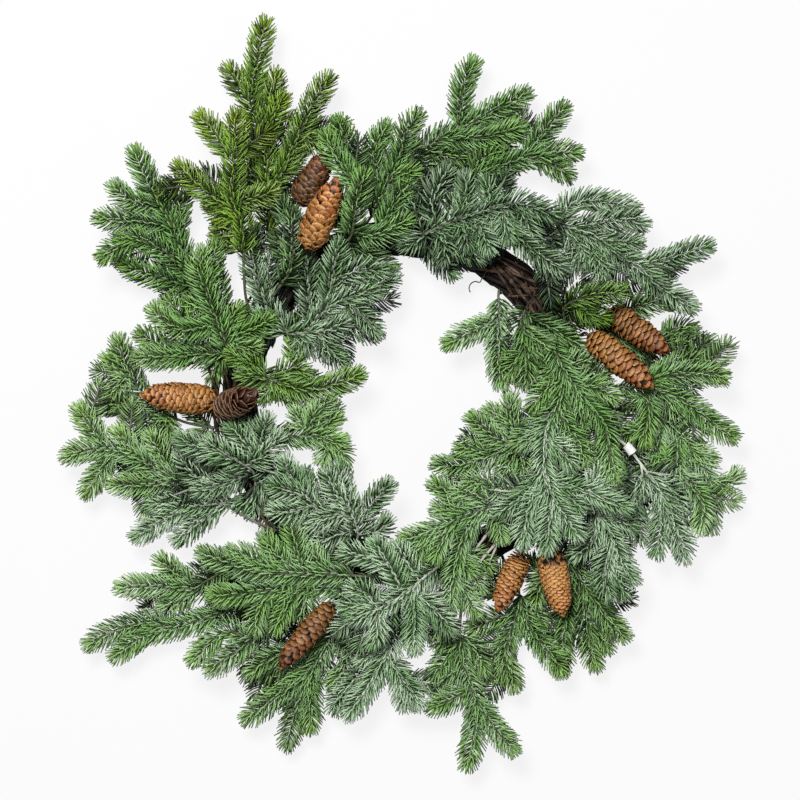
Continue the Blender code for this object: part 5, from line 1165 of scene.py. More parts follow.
def lay_under_twigs(twigs):
    """Low side twigs where the foliage is thick but a gap is left in it."""
    tree = search_tree([(bead[0], bead[1], 0.0) for twig in twigs for bead in twig.beads])
    owners = [id(twig) for twig in twigs for _ in twig.beads]
    grown, taken = [], []
    for twig in twigs:
        for place in np.arange(max(twig.bare, UNDER_FIRST), twig.length - UNDER_LAST, UNDER_STEP):
            for hand in (1.0, -1.0):
                heading = twig.heading(place)
                turned = Matrix.Rotation(hand * UNDER_TURN, 3, "Z") @ Vector((heading.x, heading.y, 0.0))
                turned.normalize()
                base = twig.point(place)
                tip = base + turned * UNDER_LENGTH
                tip.z = max(UNDER_LOWEST, base.z - UNDER_DROP)
                probe = base.lerp(tip, PROBE_SHARE)
                probe.z = 0.0
                near = [(owners[k], gap) for _, k, gap in tree.find_range(probe, UNDER_REACH)]
                near = [(owner, gap) for owner, gap in near if owner != id(twig)]
                if len({owner for owner, _ in near}) < 2 or min(gap for _, gap in near) < UNDER_GAP:
                    continue
                if any(math.hypot(probe.x - x, probe.y - y) < UNDER_APART for x, y in taken):
                    continue
                if any(a < spot.x < c and b < spot.y < d
                       for a, b, c, d in OPEN_PLACES for spot in (probe, tip)):
                    continue
                join = int(np.argmin(np.abs(twig.places - place)))
                beads = np.array([base.lerp(tip, share) for share in np.linspace(0.0, 1.0, UNDER_BEADS)])
                branch = Twig(twig.spray, beads, twig, join, low=True)
                if np.abs(push_from_cones(branch.beads)).max() > UNDER_TOUCH:
                    continue
                taken.append((probe.x, probe.y))
                grown.append(branch)
    return grown


# tone, growth and frost of each family of needles
LOOKS = {"needles_fresh": (0.0, 0.60, 0.0), "needles_green": (0.0, 0.40, 0.12),
         "needles_frosted": (0.04, 0.10, 0.80)}
# how single sprays differ from their family: tone, growth, frost
SPRAY_TINTS = {
    "spray_top_left_front": (-0.02, 0.10, 0.0), "spray_top_left_rear": (0.04, 0.0, 0.10),
    "spray_top_left_inner": (-0.25, -0.2, 0.05), "spray_upper_left_frosted": (-0.14, 0.0, -0.20),
    "spray_left_inner_bright": (0.06, -0.50, 0.16), "spray_top_right": (0.08, 0.0, 0.05),
    "spray_left_front_brush": (0.02, 0.10, -0.05), "spray_left_middle": (0.14, 0.2, 0.1),
    "spray_left_far": (0.28, 0.2, 0.22), "spray_left_front_frosted": (-0.08, 0.0, -0.12),
    "spray_left_lower": (0.14, 0.1, 0.15), "spray_left_inner": (0.22, 0.0, 0.30),
    "spray_lower_left_inner": (-0.04, 0.0, 0.0), "spray_lower_left_long": (0.12, 0.05, 0.20),
    "spray_lower_left_upper": (0.24, 0.1, 0.30), "spray_lower_left_far": (0.20, 0.1, 0.22),
    "spray_bottom_left": (0.14, 0.1, 0.15), "spray_bottom_frosted_front": (0.08, 0.0, 0.10),
    "spray_bottom_frosted_low": (0.14, 0.0, 0.12), "spray_bottom_down": (0.10, 0.0, 0.20),
    "spray_bottom_middle": (0.12, 0.15, 0.12), "spray_bottom_right": (0.10, 0.2, 0.08),
    "spray_right_main": (0.02, 0.0, 0.18), "spray_right_centre": (0.04, 0.0, 0.05),
    "spray_right_inner_lower": (0.14, 0.0, 0.18), "spray_right_inner_upper": (-0.06, 0.0, 0.10),
    "spray_right_outer": (0.40, 0.1, 0.38), "spray_right_upper": (0.16, 0.1, 0.14),
    "spray_right_tip": (0.12, 0.1, 0.10), "spray_lower_right_inner": (0.20, 0.0, 0.30),
    "spray_upper_right_hanging": (0.24, 0.0, 0.34), "spray_upper_frosted_stem": (-0.22, 0.0, -0.33),
    "spray_upper_right": (-0.08, 0.0, -0.18), "spray_upper_right_bright": (-0.04, -0.55, 0.06),
    "spray_top_front": (-0.06, 0.0, 0.0),
}
LAYING_SEED, SPRAY_SEED, CONE_SEED, CANE_SEED = 11, 100, 500, 40


def dress_sprays(materials):
    """One piece for each spray: barked twigs with all their needles. Returns the twigs."""
    twigs = lay_twigs(random.Random(LAYING_SEED))
    settle_twigs(twigs)
    twigs += lay_extra_twigs(twigs)
    twigs += lay_under_twigs(twigs)
    cane_tree = cane_mesh_tree()
    cover = look_over(twigs)
    blank = needle_blank()
    for number, (name, slot, *_) in enumerate(SPRAYS):
        chance = random.Random(SPRAY_SEED + number)
        needles, bark = new_mesh(), new_mesh()
        look = [a + b for a, b in zip(LOOKS[slot], SPRAY_TINTS.get(name, (0.0, 0.0, 0.0)))]
        for twig in twigs:
            if twig.spray == number:
                dress_twig(needles, twig, blank, look, cover, chance)
                bark_twig(bark, twig, max(0.0, look[2]), cane_tree)
        for face in bark.faces:
            face.material_index = 1
        join_mesh(needles, bark)
        finish_piece("dressed_" + name, needles, [materials[slot], materials["bark"]], [name])
    return twigs


# A cone scale: its half outline by the share of the way along it, and shares of its length
SCALE_CELLS = 4
SCALE_OUTLINE = ((0.0, 0.3, 0.62, 0.86, 1.0), (0.45, 0.80, 0.96, 1.0, 0.86))
SCALE_ROUNDING = 0.16
SCALE_CROWN = 0.05
SCALE_HOOK = 0.03
SCALE_THICKNESS = 0.04


def scale_blank():
    """One cone scale along +Y: a thin rounded plate, wide near its tip, its upper face to +Z."""
    bm = bmesh.new()
    layer = look_layer(bm)
    grid = bmesh.ops.create_grid(bm, x_segments=SCALE_CELLS, y_segments=SCALE_CELLS, size=0.5)
    for vert in grid["verts"]:
        along = vert.co.y + 0.5
        across = vert.co.x * 2.0
        width = float(np.interp(along, *SCALE_OUTLINE))
        vert.co = Vector((across * width / 2.0,
                          along - SCALE_ROUNDING * across * across * along,
                          SCALE_CROWN * (1.0 - across * across) * along - SCALE_HOOK * along ** 3))
        vert[layer] = (0.0, 0.0, 0.0, along)
    bmesh.ops.recalc_face_normals(bm, faces=bm.faces[:])
    bmesh.ops.solidify(bm, geom=bm.faces[:], thickness=SCALE_THICKNESS)
    bmesh.ops.recalc_face_normals(bm, faces=bm.faces[:])
    return Blank("scale_blank", bm)


SCALE_LENGTH = 14.5
SCALE_WIDTH = 13.5
SCALE_SEAT = 0.93
SCALE_LIFT = 1.0
OPEN_CONE = "cone_left_open"
GOLDEN_TURN = math.radians(137.508)
# how far the scales of each cone stand open, how tan (1) or dark (0) it is, how light its scales are, how
# many it has, and how slim it is against its solid
CONE_LOOKS = {
    "cone_top_dark": (0.95, 0.10, 0.28, 120, 0.90), "cone_top_tan": (0.75, 0.78, 0.40, 100, 0.92),
    "cone_left_long": (0.60, 0.72, 0.55, 145, 0.98), "cone_left_open": (2.6, -0.08, -0.08, 70, 0.95),
    "cone_bottom_left": (0.85, 0.40, 0.36, 96, 0.80), "cone_bottom_red": (1.50, 0.72, 0.58, 125, 0.95),
    "cone_bottom_tan": (0.42, 1.0, 0.84, 230, 0.94), "cone_right_rear": (1.45, 0.45, 0.42, 100, 0.88),
    "cone_right_front": (1.0, 0.64, 0.46, 104, 0.88),
}
# sizes and tilts in degrees of the scales, by their share of the way from base to tip
SCALE_SIZES = ((0.0, 0.15, 0.6, 0.9, 1.0), (0.75, 1.0, 1.0, 0.76, 0.60))
SCALE_TILTS = ((0.0, 0.12, 0.3, 0.85), (80.0, 52.0, 30.0, 20.0))
WIDEST_TILT = 82.0
CLOSING = (0.72, 0.86, 0.94, 1.0)
OPEN_CLOSING = (0.52, 0.70, 0.84, 1.0)
OPEN_TILTS = (68.0, 34.0, 2.0, -24.0)
# where the scales of a cone's tip start to close over it, and how far they rise in mm
CLOSED_TIP = (0.88, 1.8)
OPEN_TIP = (0.74, 4.5)
TIP_PULL = 0.8
# how scales are spaced and sized: by the cone's radius and a margin in mm, against a usual cone
SPACING_STEPS = 200
SPACING_MARGIN = 4.5
USUAL_RADIUS = 16.0
SCALE_CROWD = 100.0
SCALE_SPREAD = (0.92, 1.08)
TILT_WANDER = 6.0
TURN_WANDER = 0.10
SCALE_ROLL = 0.16
LIGHT_SPREAD = 0.32
TAN_SPREAD = 0.12
# the dark core, the cone's axis and painted shade of its inside: places of its ends, spots, sides, width
# against the cone
CORE_ENDS = (0.02, 0.98)
CORE_SPOTS = 12
CORE_SIDES = 12
CORE_WIDTH, OPEN_CORE_WIDTH = 0.66, 0.40


def scale_tilt(name, share, opening):
    """How far a scale leans out from its cone's axis, in degrees."""
    if name == OPEN_CONE and share > OPEN_CLOSING[0]:
        return float(np.interp(share, OPEN_CLOSING, OPEN_TILTS))
    if share > CLOSING[0]:
        tilts = (min(60.0, 24.0 * opening), 6.0 * opening, -6.0, -22.0)
        return float(np.interp(share, CLOSING, tilts))
    return min(WIDEST_TILT, float(np.interp(share, *SCALE_TILTS)) * opening)


def cone_core(name, base, axis, widest, cane_tree):
    """The dark core of a cone, its axis and the painted shade of its inside, and its stalk down to the
    nearest cane.
    """
    core = new_mesh()
    shares = np.linspace(*CORE_ENDS, CORE_SPOTS)
    width = OPEN_CORE_WIDTH if name == OPEN_CONE else CORE_WIDTH
    radii = [0.0] + [cone_radius(s, widest) * width for s in shares[1:-1]] + [0.0]
    bent_strip(core, [base + axis * s for s in shares], radii, CORE_SIDES, (0.0, 0.0, 0.0))
    heading = axis.normalized()
    outer = base - heading * STALK_OUTSIDE
    seat, _, _, _ = cane_tree.find_nearest(outer)
    stalk = [base + heading * STALK_INSIDE, base - heading * STALK_NECK, outer, outer.lerp(seat, STALK_SHARE)]
    stalk = [Vector(p) for p in even_line(stalk, STALK_STEP)]
    stalk, radii = capped(stalk, [STALK_RADIUS] * len(stalk))
    bent_strip(core, stalk, radii, TWIG_SIDES, (0.15, 0.0, 0.0), STALK_ROUGHNESS)
    return core


def dress_cones(materials):
    """Every cone: a dark core that stands for its axis and shaded inside, spiralling scales that close over
    its tip, and its stalk.
    """
    blank = scale_blank()
    cane_tree = cane_mesh_tree()
    for number, (name, slot, base, tip, widest) in enumerate(CONES):
        chance = random.Random(CONE_SEED + number)
        opening, tan, light, total, slim = CONE_LOOKS[name]
        widest *= slim
        tip_start, tip_rise = OPEN_TIP if name == OPEN_CONE else CLOSED_TIP
        base, tip = Vector(base), Vector(tip)
        axis = tip - base
        heading = axis.normalized()
        across = heading.orthogonal().normalized()
        up = heading.cross(across)
        bm = new_mesh()
        shares = np.linspace(0.0, 1.0, SPACING_STEPS)
        cover = np.cumsum([cone_radius(s, widest) + SPACING_MARGIN for s in shares])
        cover = (cover - cover[0]) / (cover[-1] - cover[0])
        for k in range(total):
            share = float(np.interp((k + 0.5) / total, cover, shares))
            size = float(np.interp(share, *SCALE_SIZES))
            size *= widest / USUAL_RADIUS * (SCALE_CROWD / total) ** 0.5 * chance.uniform(*SCALE_SPREAD)
            tilt = math.radians(scale_tilt(name, share, opening) + chance.uniform(-TILT_WANDER, TILT_WANDER))
            turn = k * GOLDEN_TURN + chance.uniform(-TURN_WANDER, TURN_WANDER)
            side = across * math.cos(turn) + up * math.sin(turn)
            length = SCALE_LENGTH * size * chance.uniform(*SCALE_SPREAD)
            near_tip = max(0.0, (share - tip_start) / (1.0 - tip_start))
            reach = (cone_radius(share, widest) * SCALE_SEAT + SCALE_LIFT) * (1.0 - TIP_PULL * near_tip)
            direction = heading * math.cos(tilt) + side * math.sin(tilt)
            end = base + axis * share + side * reach + heading * tip_rise * near_tip
            right = direction.cross(side).normalized()
            out = right.cross(direction)
            turned = Matrix.Rotation(chance.uniform(-SCALE_ROLL, SCALE_ROLL), 3, direction)
            right, out = turned @ right, turned @ out
            matrix = Matrix((right * SCALE_WIDTH * size, direction * length, out * length)).transposed()
            matrix = Matrix.Translation(end - direction * length) @ matrix.to_4x4()
            tone = clamp(light + chance.uniform(-LIGHT_SPREAD, LIGHT_SPREAD))
            blank.stamp(bm, matrix, tone, clamp(tan + chance.uniform(-TAN_SPREAD, TAN_SPREAD)), share)
        join_mesh(bm, cone_core(name, base, axis, widest, cane_tree))
        finish_piece("scaled_" + name, bm, [materials["cone"]], [name])


def even_line(spots, step):
    """Points an even step apart along straight pieces."""
    spots = np.array([tuple(p) for p in spots])
    length = np.concatenate([[0.0], np.cumsum(np.linalg.norm(np.diff(spots, axis=0), axis=1))])
    places = np.linspace(0.0, length[-1], max(2, int(length[-1] / step)) + 1)
    return np.column_stack([np.interp(places, length, spots[:, k]) for k in range(3)])


# Vines: counts, millimetres, and shares of the radius that lumps and knots add
CANE_FINE_STEPS = 240
STRAND_COUNT = 3
STRAND_RADIUS = 2.3
STRAND_REACH = 2.8
STRAND_SIDES = 7
STRAND_TURNS = (5, 7, 4, 6, 8, 5)
CORE_VINES = 4
CORE_REACH = 5.2
CORE_RADIUS = 4.2
CORE_TURNS = 3
CORE_LUMPS, CORE_SWELL = 0.08, 0.2
STRAND_THICKNESS = (0.78, 1.15)
STRAND_TONE = 0.22
VINE_ROUGHNESS = 0.30
WALK_REACH = 5.0
WANDER_LUMPS, WANDER_SHARE = 1.4, 0.45
SWELL_LUMPS, SWELL_SHARE = 4.0, 0.20
KNOT_LUMPS, KNOT_START, KNOT_SHARE = 2.3, 0.35, 1.8
SEAM_GAP = 0.01


def dress_canes(materials):
    """Each packed cane becomes three thinner vines wound round each other on the same line."""
    for cane in range(CANE_COUNT):
        chance = random.Random(CANE_SEED + cane)
        bm = new_mesh()
        for strand in range(STRAND_COUNT):
            spots, radii = [], []
            shift = chance.uniform(0.0, 100.0)
            thick = chance.uniform(*STRAND_THICKNESS)
            for k in range(CANE_FINE_STEPS + 1):
                angle = 360.0 / CANE_FINE_STEPS * k
                east, north = math.cos(math.radians(angle)), math.sin(math.radians(angle))
                outward = Vector((east, north, 0.0))
                walk = Vector((east * WALK_REACH, north * WALK_REACH, shift))
                turn = math.radians(120.0 * strand + STRAND_TURNS[cane] * angle)
                reach = STRAND_REACH * (1.0 + WANDER_SHARE * noise.noise(walk * WANDER_LUMPS))
                across = math.cos(turn) * outward + math.sin(turn) * Vector((0, 0, 1.0))
                spots.append(cane_point(cane, angle) + reach * across)
                swell = 1.0 + SWELL_SHARE * noise.noise(walk * SWELL_LUMPS)
                knot = noise.noise(walk * KNOT_LUMPS + Vector((7.0, 0.0, 0.0))) - KNOT_START
                radii.append(STRAND_RADIUS * thick * (swell + max(0.0, knot) * KNOT_SHARE))
            look = (chance.uniform(0.0, STRAND_TONE), 0.0, 0.0)
            bent_strip(bm, spots, radii, STRAND_SIDES, look, VINE_ROUGHNESS, shift)
        bmesh.ops.remove_doubles(bm, verts=bm.verts[:], dist=SEAM_GAP)
        finish_piece("barked_cane_%d" % (cane + 1), bm, [materials["vine"]],
                     ["vine_cane_%d" % (cane + 1)])


def dress_core_vines(material):
    """Dark vines inside the bundle, so that the surface doesn't show through it."""
    bm = new_mesh()
    for vine in range(CORE_VINES):
        spots = []
        for k in range(CANE_FINE_STEPS // 2 + 1):
            angle = 720.0 / CANE_FINE_STEPS * k
            spots.append(bundle_point(angle, 360.0 / CORE_VINES * vine - CORE_TURNS * angle, CORE_REACH))
        radii = [CORE_RADIUS * (1.0 + CORE_SWELL * noise.noise(spot * CORE_LUMPS)) for spot in spots[:-1]]
        bent_strip(bm, spots, radii + radii[:1], STRAND_SIDES, (0.1, 0.0, 0.0), 0.0, vine * 9.0)
    bmesh.ops.remove_doubles(bm, verts=bm.verts[:], dist=SEAM_GAP)
    finish_piece("core_vines", bm, [material], [])


# Thin vines that leave the bundle and come back to it: start and end round the ring, round the bundle at the
# start and end, how far out in the middle, radius, tone
LOOSE_VINES = [
    (22, 72, 40, 150, 23.0, 2.0, 0.9), (30, 82, 150, 60, 24.0, 1.7, 0.6),
    (18, 60, 95, 70, 24.5, 1.4, 1.0), (28, 64, 20, 80, 24.0, 1.5, 0.4),
    (150, 200, 20, 10, 29.0, 2.2, 0.4), (155, 196, -5, 30, 26.0, 1.9, 0.5),
    (148, 190, 60, 0, 25.0, 1.8, 0.3), (128, 165, 10, 60, 25.0, 1.7, 0.2),
    (160, 186, 120, 40, 24.0, 1.3, 0.6), (200, 242, 0, 40, 27.0, 1.9, 0.8),
    (204, 246, 60, 20, 26.0, 1.7, 1.0), (208, 240, 100, 60, 24.0, 1.5, 1.0),
    (210, 236, 30, 120, 25.0, 1.3, 0.9), (290, 312, 60, 130, 25.0, 1.2, 0.7),
    (246, 268, 20, 110, 25.0, 1.5, 0.9), (286, 318, 130, 40, 24.0, 1.5, 0.3),
]
STEM_LIFT = 7.0
STEM_SINK = 1.5
STEM_STEP = 1.6
STEM_LUMPS = 0.09
VINE_SHARE = 0.88
VINE_TUCK = 3.0
SPOTS_PER_DEGREE = 2.0
WANDER_STEP, WANDER_DEGREES = 2.6, 12.0
VINE_SIDES = 7
BAR_LUMPS, BAR_SWELL, BAR_ROUGHNESS = 0.25, 0.45, 0.35
# Bare stems seen over the bundle: radius, tone, frost, route with heights
BARE_STEMS = [
    (2.2, 1.0, 0.0, [(97, 134, 30), (105, 125, 44), (116, 112, 46), (128, 96, 45), (138, 81, 42),
                     (146, 68, 30)]),
    (1.6, 0.8, 0.0, [(104, 134, 32), (114, 126, 45), (134, 118, 47), (156, 110, 44), (172, 104, 34)]),
    (1.9, 0.6, 0.0, [(106, 130, 34), (118, 118, 48), (134, 100, 49), (146, 84, 45), (152, 74, 34)]),
    (1.2, 0.9, 0.0, [(112, 116, 36), (124, 112, 49), (144, 110, 48), (164, 106, 38)]),
    (1.0, 0.7, 0.0, [(122, 128, 34), (127, 112, 50), (133, 98, 50), (138, 86, 36)]),
    (1.0, 1.0, 0.0, [(108, 104, 34), (124, 104, 48), (142, 104, 49), (160, 98, 36)]),
    (0.9, 0.8, 0.0, [(136, 122, 36), (134, 106, 49), (126, 92, 47), (122, 84, 34)]),
    (2.0, 0.8, 0.25, [(-141, -88, 30), (-135, -97, 43), (-127, -107, 45), (-118, -118, 34)]),
    (1.5, 0.7, 0.2, [(-122, -90, 32), (-121, -102, 46), (-121, -114, 44), (-124, -122, 32)]),
    (1.6, 0.9, 0.3, [(-118, -92, 34), (-111, -102, 47), (-100, -115, 47), (-86, -132, 34)]),
    (1.6, 0.7, 0.3, [(-186, -104, 26), (-165, -111, 30), (-145, -122, 38), (-123, -137, 34)]),
    (1.2, 0.6, 0.2, [(-150, -110, 26), (-140, -124, 40), (-126, -130, 40), (-112, -132, 32)]),
    (1.4, 1.0, 0.9, [(68, -164, 30), (74, -152, 44), (84, -138, 44), (92, -128, 32)]),
    (1.6, 1.0, 0.9, [(72, -174, 30), (80, -161, 45), (92, -147, 46), (104, -136, 34)]),
    (1.1, 1.0, 0.9, [(88, -172, 30), (91, -158, 47), (97, -144, 45), (98, -134, 34)]),
    (1.8, 0.6, 0.0, [(-198, 56, 28), (-195, 44, 38), (-188, 22, 40), (-180, 0, 38), (-174, -12, 28)]),
    (1.3, 0.4, 0.0, [(-180, 66, 30), (-178, 42, 42), (-172, 18, 42), (-168, -6, 30)]),
]


def vine_bar(name, material, spots, radius, look, seed):
    """A knobbly vine or stem through the spots, as its own piece."""
    bm = new_mesh()
    swells = [BAR_SWELL * noise.noise(spot * BAR_LUMPS + Vector((seed, 0.0, 0.0))) for spot in spots]
    spots, radii = capped(spots, [VINE_SHARE * radius * (1.0 + swell) for swell in swells])
    bent_strip(bm, spots, radii, VINE_SIDES, look, BAR_ROUGHNESS, seed)
    finish_piece(name, bm, [material], [])


def stem_seat(end, cane_tree, twig_tree):
    """Where a bare stem grows from: just inside the nearest cane, or the heart of a twig that is nearer."""
    on_cane, _, _, gap = cane_tree.find_nearest(end)
    in_twig, _, distance = twig_tree.find(end)
    if distance < gap:
        return in_twig
    return on_cane + (on_cane - end).normalized() * STEM_SINK


def dress_loose_vines(twigs, material):
    """The loose vines, both ends tucked between the canes, and the bare stems, rooted on canes or twigs."""
    cane_tree = cane_mesh_tree()
    twig_tree = search_tree([bead for twig in twigs for bead in twig.beads])
    inner = BUNDLE_RADIUS - VINE_TUCK
    for number, (start, end, low, high, out, radius, tone) in enumerate(LOOSE_VINES):
        count = int(abs(end - start) * SPOTS_PER_DEGREE)
        spots = []
        for k in range(count + 1):
            share = k / count
            reach = inner + (out - inner) * math.sin(math.pi * share) ** 0.5
            wander = noise.noise(Vector((share * WANDER_STEP, number * 5.0, 0.0))) * WANDER_DEGREES
            turn = low + (high - low) * share + wander
            spots.append(bundle_point(start + (end - start) * share, turn, reach))
        vine_bar("loose_vine_%d" % (number + 1), material, spots, radius, (tone, 0.0, 0.0), number * 7.0)
    for number, (radius, tone, frost, route) in enumerate(BARE_STEMS):
        route = [Vector(p) + Vector((0.0, 0.0, STEM_LIFT)) for p in route]
        ends = [stem_seat(end, cane_tree, twig_tree) for end in (route[0], route[-1])]
        spots = [Vector(p) for p in even_line(ends[:1] + route + ends[1:], STEM_STEP)]
        spots = [spot + noise.noise_vector(spot * STEM_LUMPS) for spot in spots]
        look = (tone, 0.0, frost)
        vine_bar("bare_stem_%d" % (number + 1), material, spots, radius, look, 50.0 + number * 7.0)


def dress_ties(materials):
    """Round binding wires."""
    for name in TIE_ANGLES:
        bm = new_mesh()
        spots = [Vector(p) for p in even_points(tie_path(name), WIRE_STEP)]
        spots, radii = capped(spots, [WIRE_RADIUS] * len(spots))
        bent_strip(bm, spots, radii, WIRE_SIDES, (0.5, 0.0, 0.0))
        finish_piece("round_" + name, bm, [materials["wire"]], [name])


def node(tree, kind, **values):
    """Add a shader node; each value sets an input or property by name, or is a socket to link."""
    made = tree.nodes.new(kind)
    for key, value in values.items():
        if isinstance(value, bpy.types.NodeSocket):
            tree.links.new(value, made.inputs[key])
        elif key in made.inputs:
            made.inputs[key].default_value = value
        else:
            setattr(made, key, value)
    return made


def mix_colours(tree, factor, low, high):
    """A colour mix; each end is a colour or an output socket."""
    mix = node(tree, "ShaderNodeMix", data_type="RGBA")
    for socket, value in ((mix.inputs[0], factor), (mix.inputs[6], low), (mix.inputs[7], high)):
        if isinstance(value, (tuple, float, int)):
            socket.default_value = (*value, 1.0) if isinstance(value, tuple) else value
        else:
            tree.links.new(value, socket)
    return mix.outputs[2]


def new_material(name, roughness, specular=0.5, metallic=0.0):
    """A material with its Principled shader; returns the material, tree and shader."""
    material = bpy.data.materials.new(name)
    material.use_nodes = True
    shader = material.node_tree.nodes["Principled BSDF"]
    shader.inputs["Roughness"].default_value = roughness
    shader.inputs["Specular IOR Level"].default_value = specular
    shader.inputs["Metallic"].default_value = metallic
    return material, material.node_tree, shader


def map_range(tree, value, low, high, to_low=0.0, to_high=1.0):
    """Stretch a value's range and clamp it."""
    made = node(tree, "ShaderNodeMapRange")
    tree.links.new(value, made.inputs["Value"])
    for key, number in (("From Min", low), ("From Max", high), ("To Min", to_low), ("To Max", to_high)):
        made.inputs[key].default_value = number
    return made.outputs["Result"]


def multiply(tree, a, b):
    """Product of two values."""
    made = node(tree, "ShaderNodeMath", operation="MULTIPLY")
    for socket, value in zip(made.inputs, (a, b)):
        if isinstance(value, (float, int)):
            socket.default_value = value
        else:
            tree.links.new(value, socket)
    return made.outputs[0]


def object_noise(tree, scale, detail=3.0):
    """Noise over the row frame, scale in lumps per metre."""
    place = node(tree, "ShaderNodeTexCoord")
    made = node(tree, "ShaderNodeTexNoise", Scale=scale, Detail=detail, Vector=place.outputs["Object"])
    return made.outputs["Fac"]


def read_look(tree):
    """Sockets of the look attribute: tone, growth, frost, along."""
    attribute = node(tree, "ShaderNodeAttribute", attribute_name="look")
    parts = node(tree, "ShaderNodeSeparateColor")
    tree.links.new(attribute.outputs["Color"], parts.inputs[0])
    return parts.outputs[0], parts.outputs[1], parts.outputs[2], attribute.outputs["Alpha"]


def new_group(name, inputs, outputs):
    """An empty effect group; inputs are name, kind, value and outputs name, kind."""
    group = bpy.data.node_groups.new(name, "ShaderNodeTree")
    for label, kind, value in inputs:
        socket = group.interface.new_socket(label, in_out="INPUT", socket_type="NodeSocket" + kind)
        socket.default_value = value
    for label, kind in outputs:
        group.interface.new_socket(label, in_out="OUTPUT", socket_type="NodeSocket" + kind)
    return group, group.nodes.new("NodeGroupInput").outputs, group.nodes.new("NodeGroupOutput").inputs


def place_group(tree, group, **values):
    """Place an effect group in a material; each value is a number, a colour or an output socket."""
    values = {label: (*value, 1.0) if isinstance(value, tuple) else value for label, value in values.items()}
    return node(tree, "ShaderNodeGroup", node_tree=group, **values).outputs


def add_grain(tree, shader, groups, **values):
    """Place the grain group and bump the surface with it; returns its colour."""
    grain = place_group(tree, groups["grain"], **values)
    tree.links.new(grain["Normal"], shader.inputs["Normal"])
    return grain["Color"]


BLACK, WHITE = (0.0, 0.0, 0.0, 1.0), (1.0, 1.0, 1.0, 1.0)


def needle_green_group():
    """Needle colour: dark to light by needle, young colour at growing tips, and painted shade darkening each
    needle towards its root.
    """
    group, given, out = new_group("needle_green", [("Dark", "Color", BLACK), ("Light", "Color", WHITE),
                                                   ("Young", "Color", WHITE)], [("Color", "Color")])
    tone, growth, frost, along = read_look(group)
    light = multiply(group, tone, map_range(group, tone, 0.0, 0.6, 0.35, 1.0))
    colour = mix_colours(group, light, given["Dark"], given["Light"])
    young = mix_colours(group, light, given["Dark"], given["Young"])
    colour = mix_colours(group, growth, colour, young)
    # painted shade: the needle darker towards its root
    shade = map_range(group, along, 0.0, 0.40, 0.35, 1.0)
    group.links.new(mix_colours(group, shade, given["Dark"], colour), out["Color"])
    return group


def frost_group():
    """Pale bloom in patches and specks, thicker towards needle ends and fading on dark needles, so that
    painted shade in their tone dims it too.
    """
    group, given, out = new_group("frost_bloom", [("Color", "Color", BLACK), ("Bloom", "Color", WHITE),
                                                  ("Amount", "Float", 0.5), ("Patches", "Float", 38.0),
                                                  ("Specks", "Float", 700.0)], [("Color", "Color")])
    tone, growth, frost, along = read_look(group)
    patch = map_range(group, object_noise(group, given["Patches"]), 0.38, 0.58, 0.20, 1.0)
    speck = map_range(group, object_noise(group, given["Specks"], 2.0), 0.35, 0.65, 0.5, 1.0)
    ends = map_range(group, along, 0.10, 0.75, 0.25, 1.0)
    amount = multiply(group, multiply(group, patch, speck), multiply(group, frost, given["Amount"]))
    # fades on dark needles: random tone and the painted shade in the tone alike
    amount = multiply(group, multiply(group, amount, ends), map_range(group, tone, 0.15, 0.65, 0.04, 1.0))
    group.links.new(mix_colours(group, amount, given["Color"], given["Bloom"]), out["Color"])
    return group


def grain_group():
    """Fine grain: a mask between two colours and a bump of the same grain."""
    group, given, out = new_group("fine_grain", [("Fac", "Float", 0.5), ("Dark", "Color", BLACK),
                                                 ("Light", "Color", WHITE), ("From", "Float", 0.4),
                                                 ("To", "Float", 0.7), ("Depth", "Float", 0.0005)],
                                  [("Color", "Color"), ("Normal", "Vector")])
    mask = node(group, "ShaderNodeMapRange")
    for label, socket in (("Value", "Fac"), ("From Min", "From"), ("From Max", "To")):
        group.links.new(given[socket], mask.inputs[label])
    group.links.new(mix_colours(group, mask.outputs["Result"], given["Dark"], given["Light"]), out["Color"])
    bump = node(group, "ShaderNodeBump", Strength=0.7)
    group.links.new(given["Fac"], bump.inputs["Height"])
    group.links.new(given["Depth"], bump.inputs["Distance"])
    group.links.new(bump.outputs[0], out["Normal"])
    return group


# dark, light and young colour of each family of needles
NEEDLE_COLOURS = {
    "needles_fresh": ((0.004, 0.010, 0.002), (0.168, 0.358, 0.040), (0.36, 0.50, 0.050)),
    "needles_green": ((0.003, 0.008, 0.003), (0.165, 0.372, 0.094), (0.34, 0.56, 0.11)),
    "needles_frosted": ((0.003, 0.008, 0.004), (0.190, 0.370, 0.140), (0.32, 0.52, 0.18)),
}
FROST_COLOUR = (0.72, 0.86, 0.66)


def needle_material(slot, groups):
    """Moulded needles with their bloom."""
    dark, light, young = NEEDLE_COLOURS[slot]
    material, tree, shader = new_material(slot, 0.5, specular=0.3)
    green = place_group(tree, groups["needle"], Dark=dark, Light=light, Young=young)
    frosted = place_group(tree, groups["frost"], Color=green["Color"], Bloom=FROST_COLOUR, Amount=0.85)
    tree.links.new(frosted["Color"], shader.inputs["Base Color"])
    return material


def bark_material(groups):
    """Twig bark: green brown, silvered where the spray is frosted."""
    material, tree, shader = new_material("twig_bark", 0.8)
    grain = add_grain(tree, shader, groups, Fac=object_noise(tree, 420.0, 4.0), From=0.35, To=0.65,
                      Dark=(0.012, 0.018, 0.006), Light=(0.085, 0.095, 0.040), Depth=0.0004)
    tone, growth, frost, along = read_look(tree)
    bloom = multiply(tree, map_range(tree, object_noise(tree, 90.0), 0.30, 0.55, 0.3, 1.0),
                     multiply(tree, frost, frost))
    tree.links.new(mix_colours(tree, bloom, grain, (0.55, 0.59, 0.49)), shader.inputs["Base Color"])
    return material


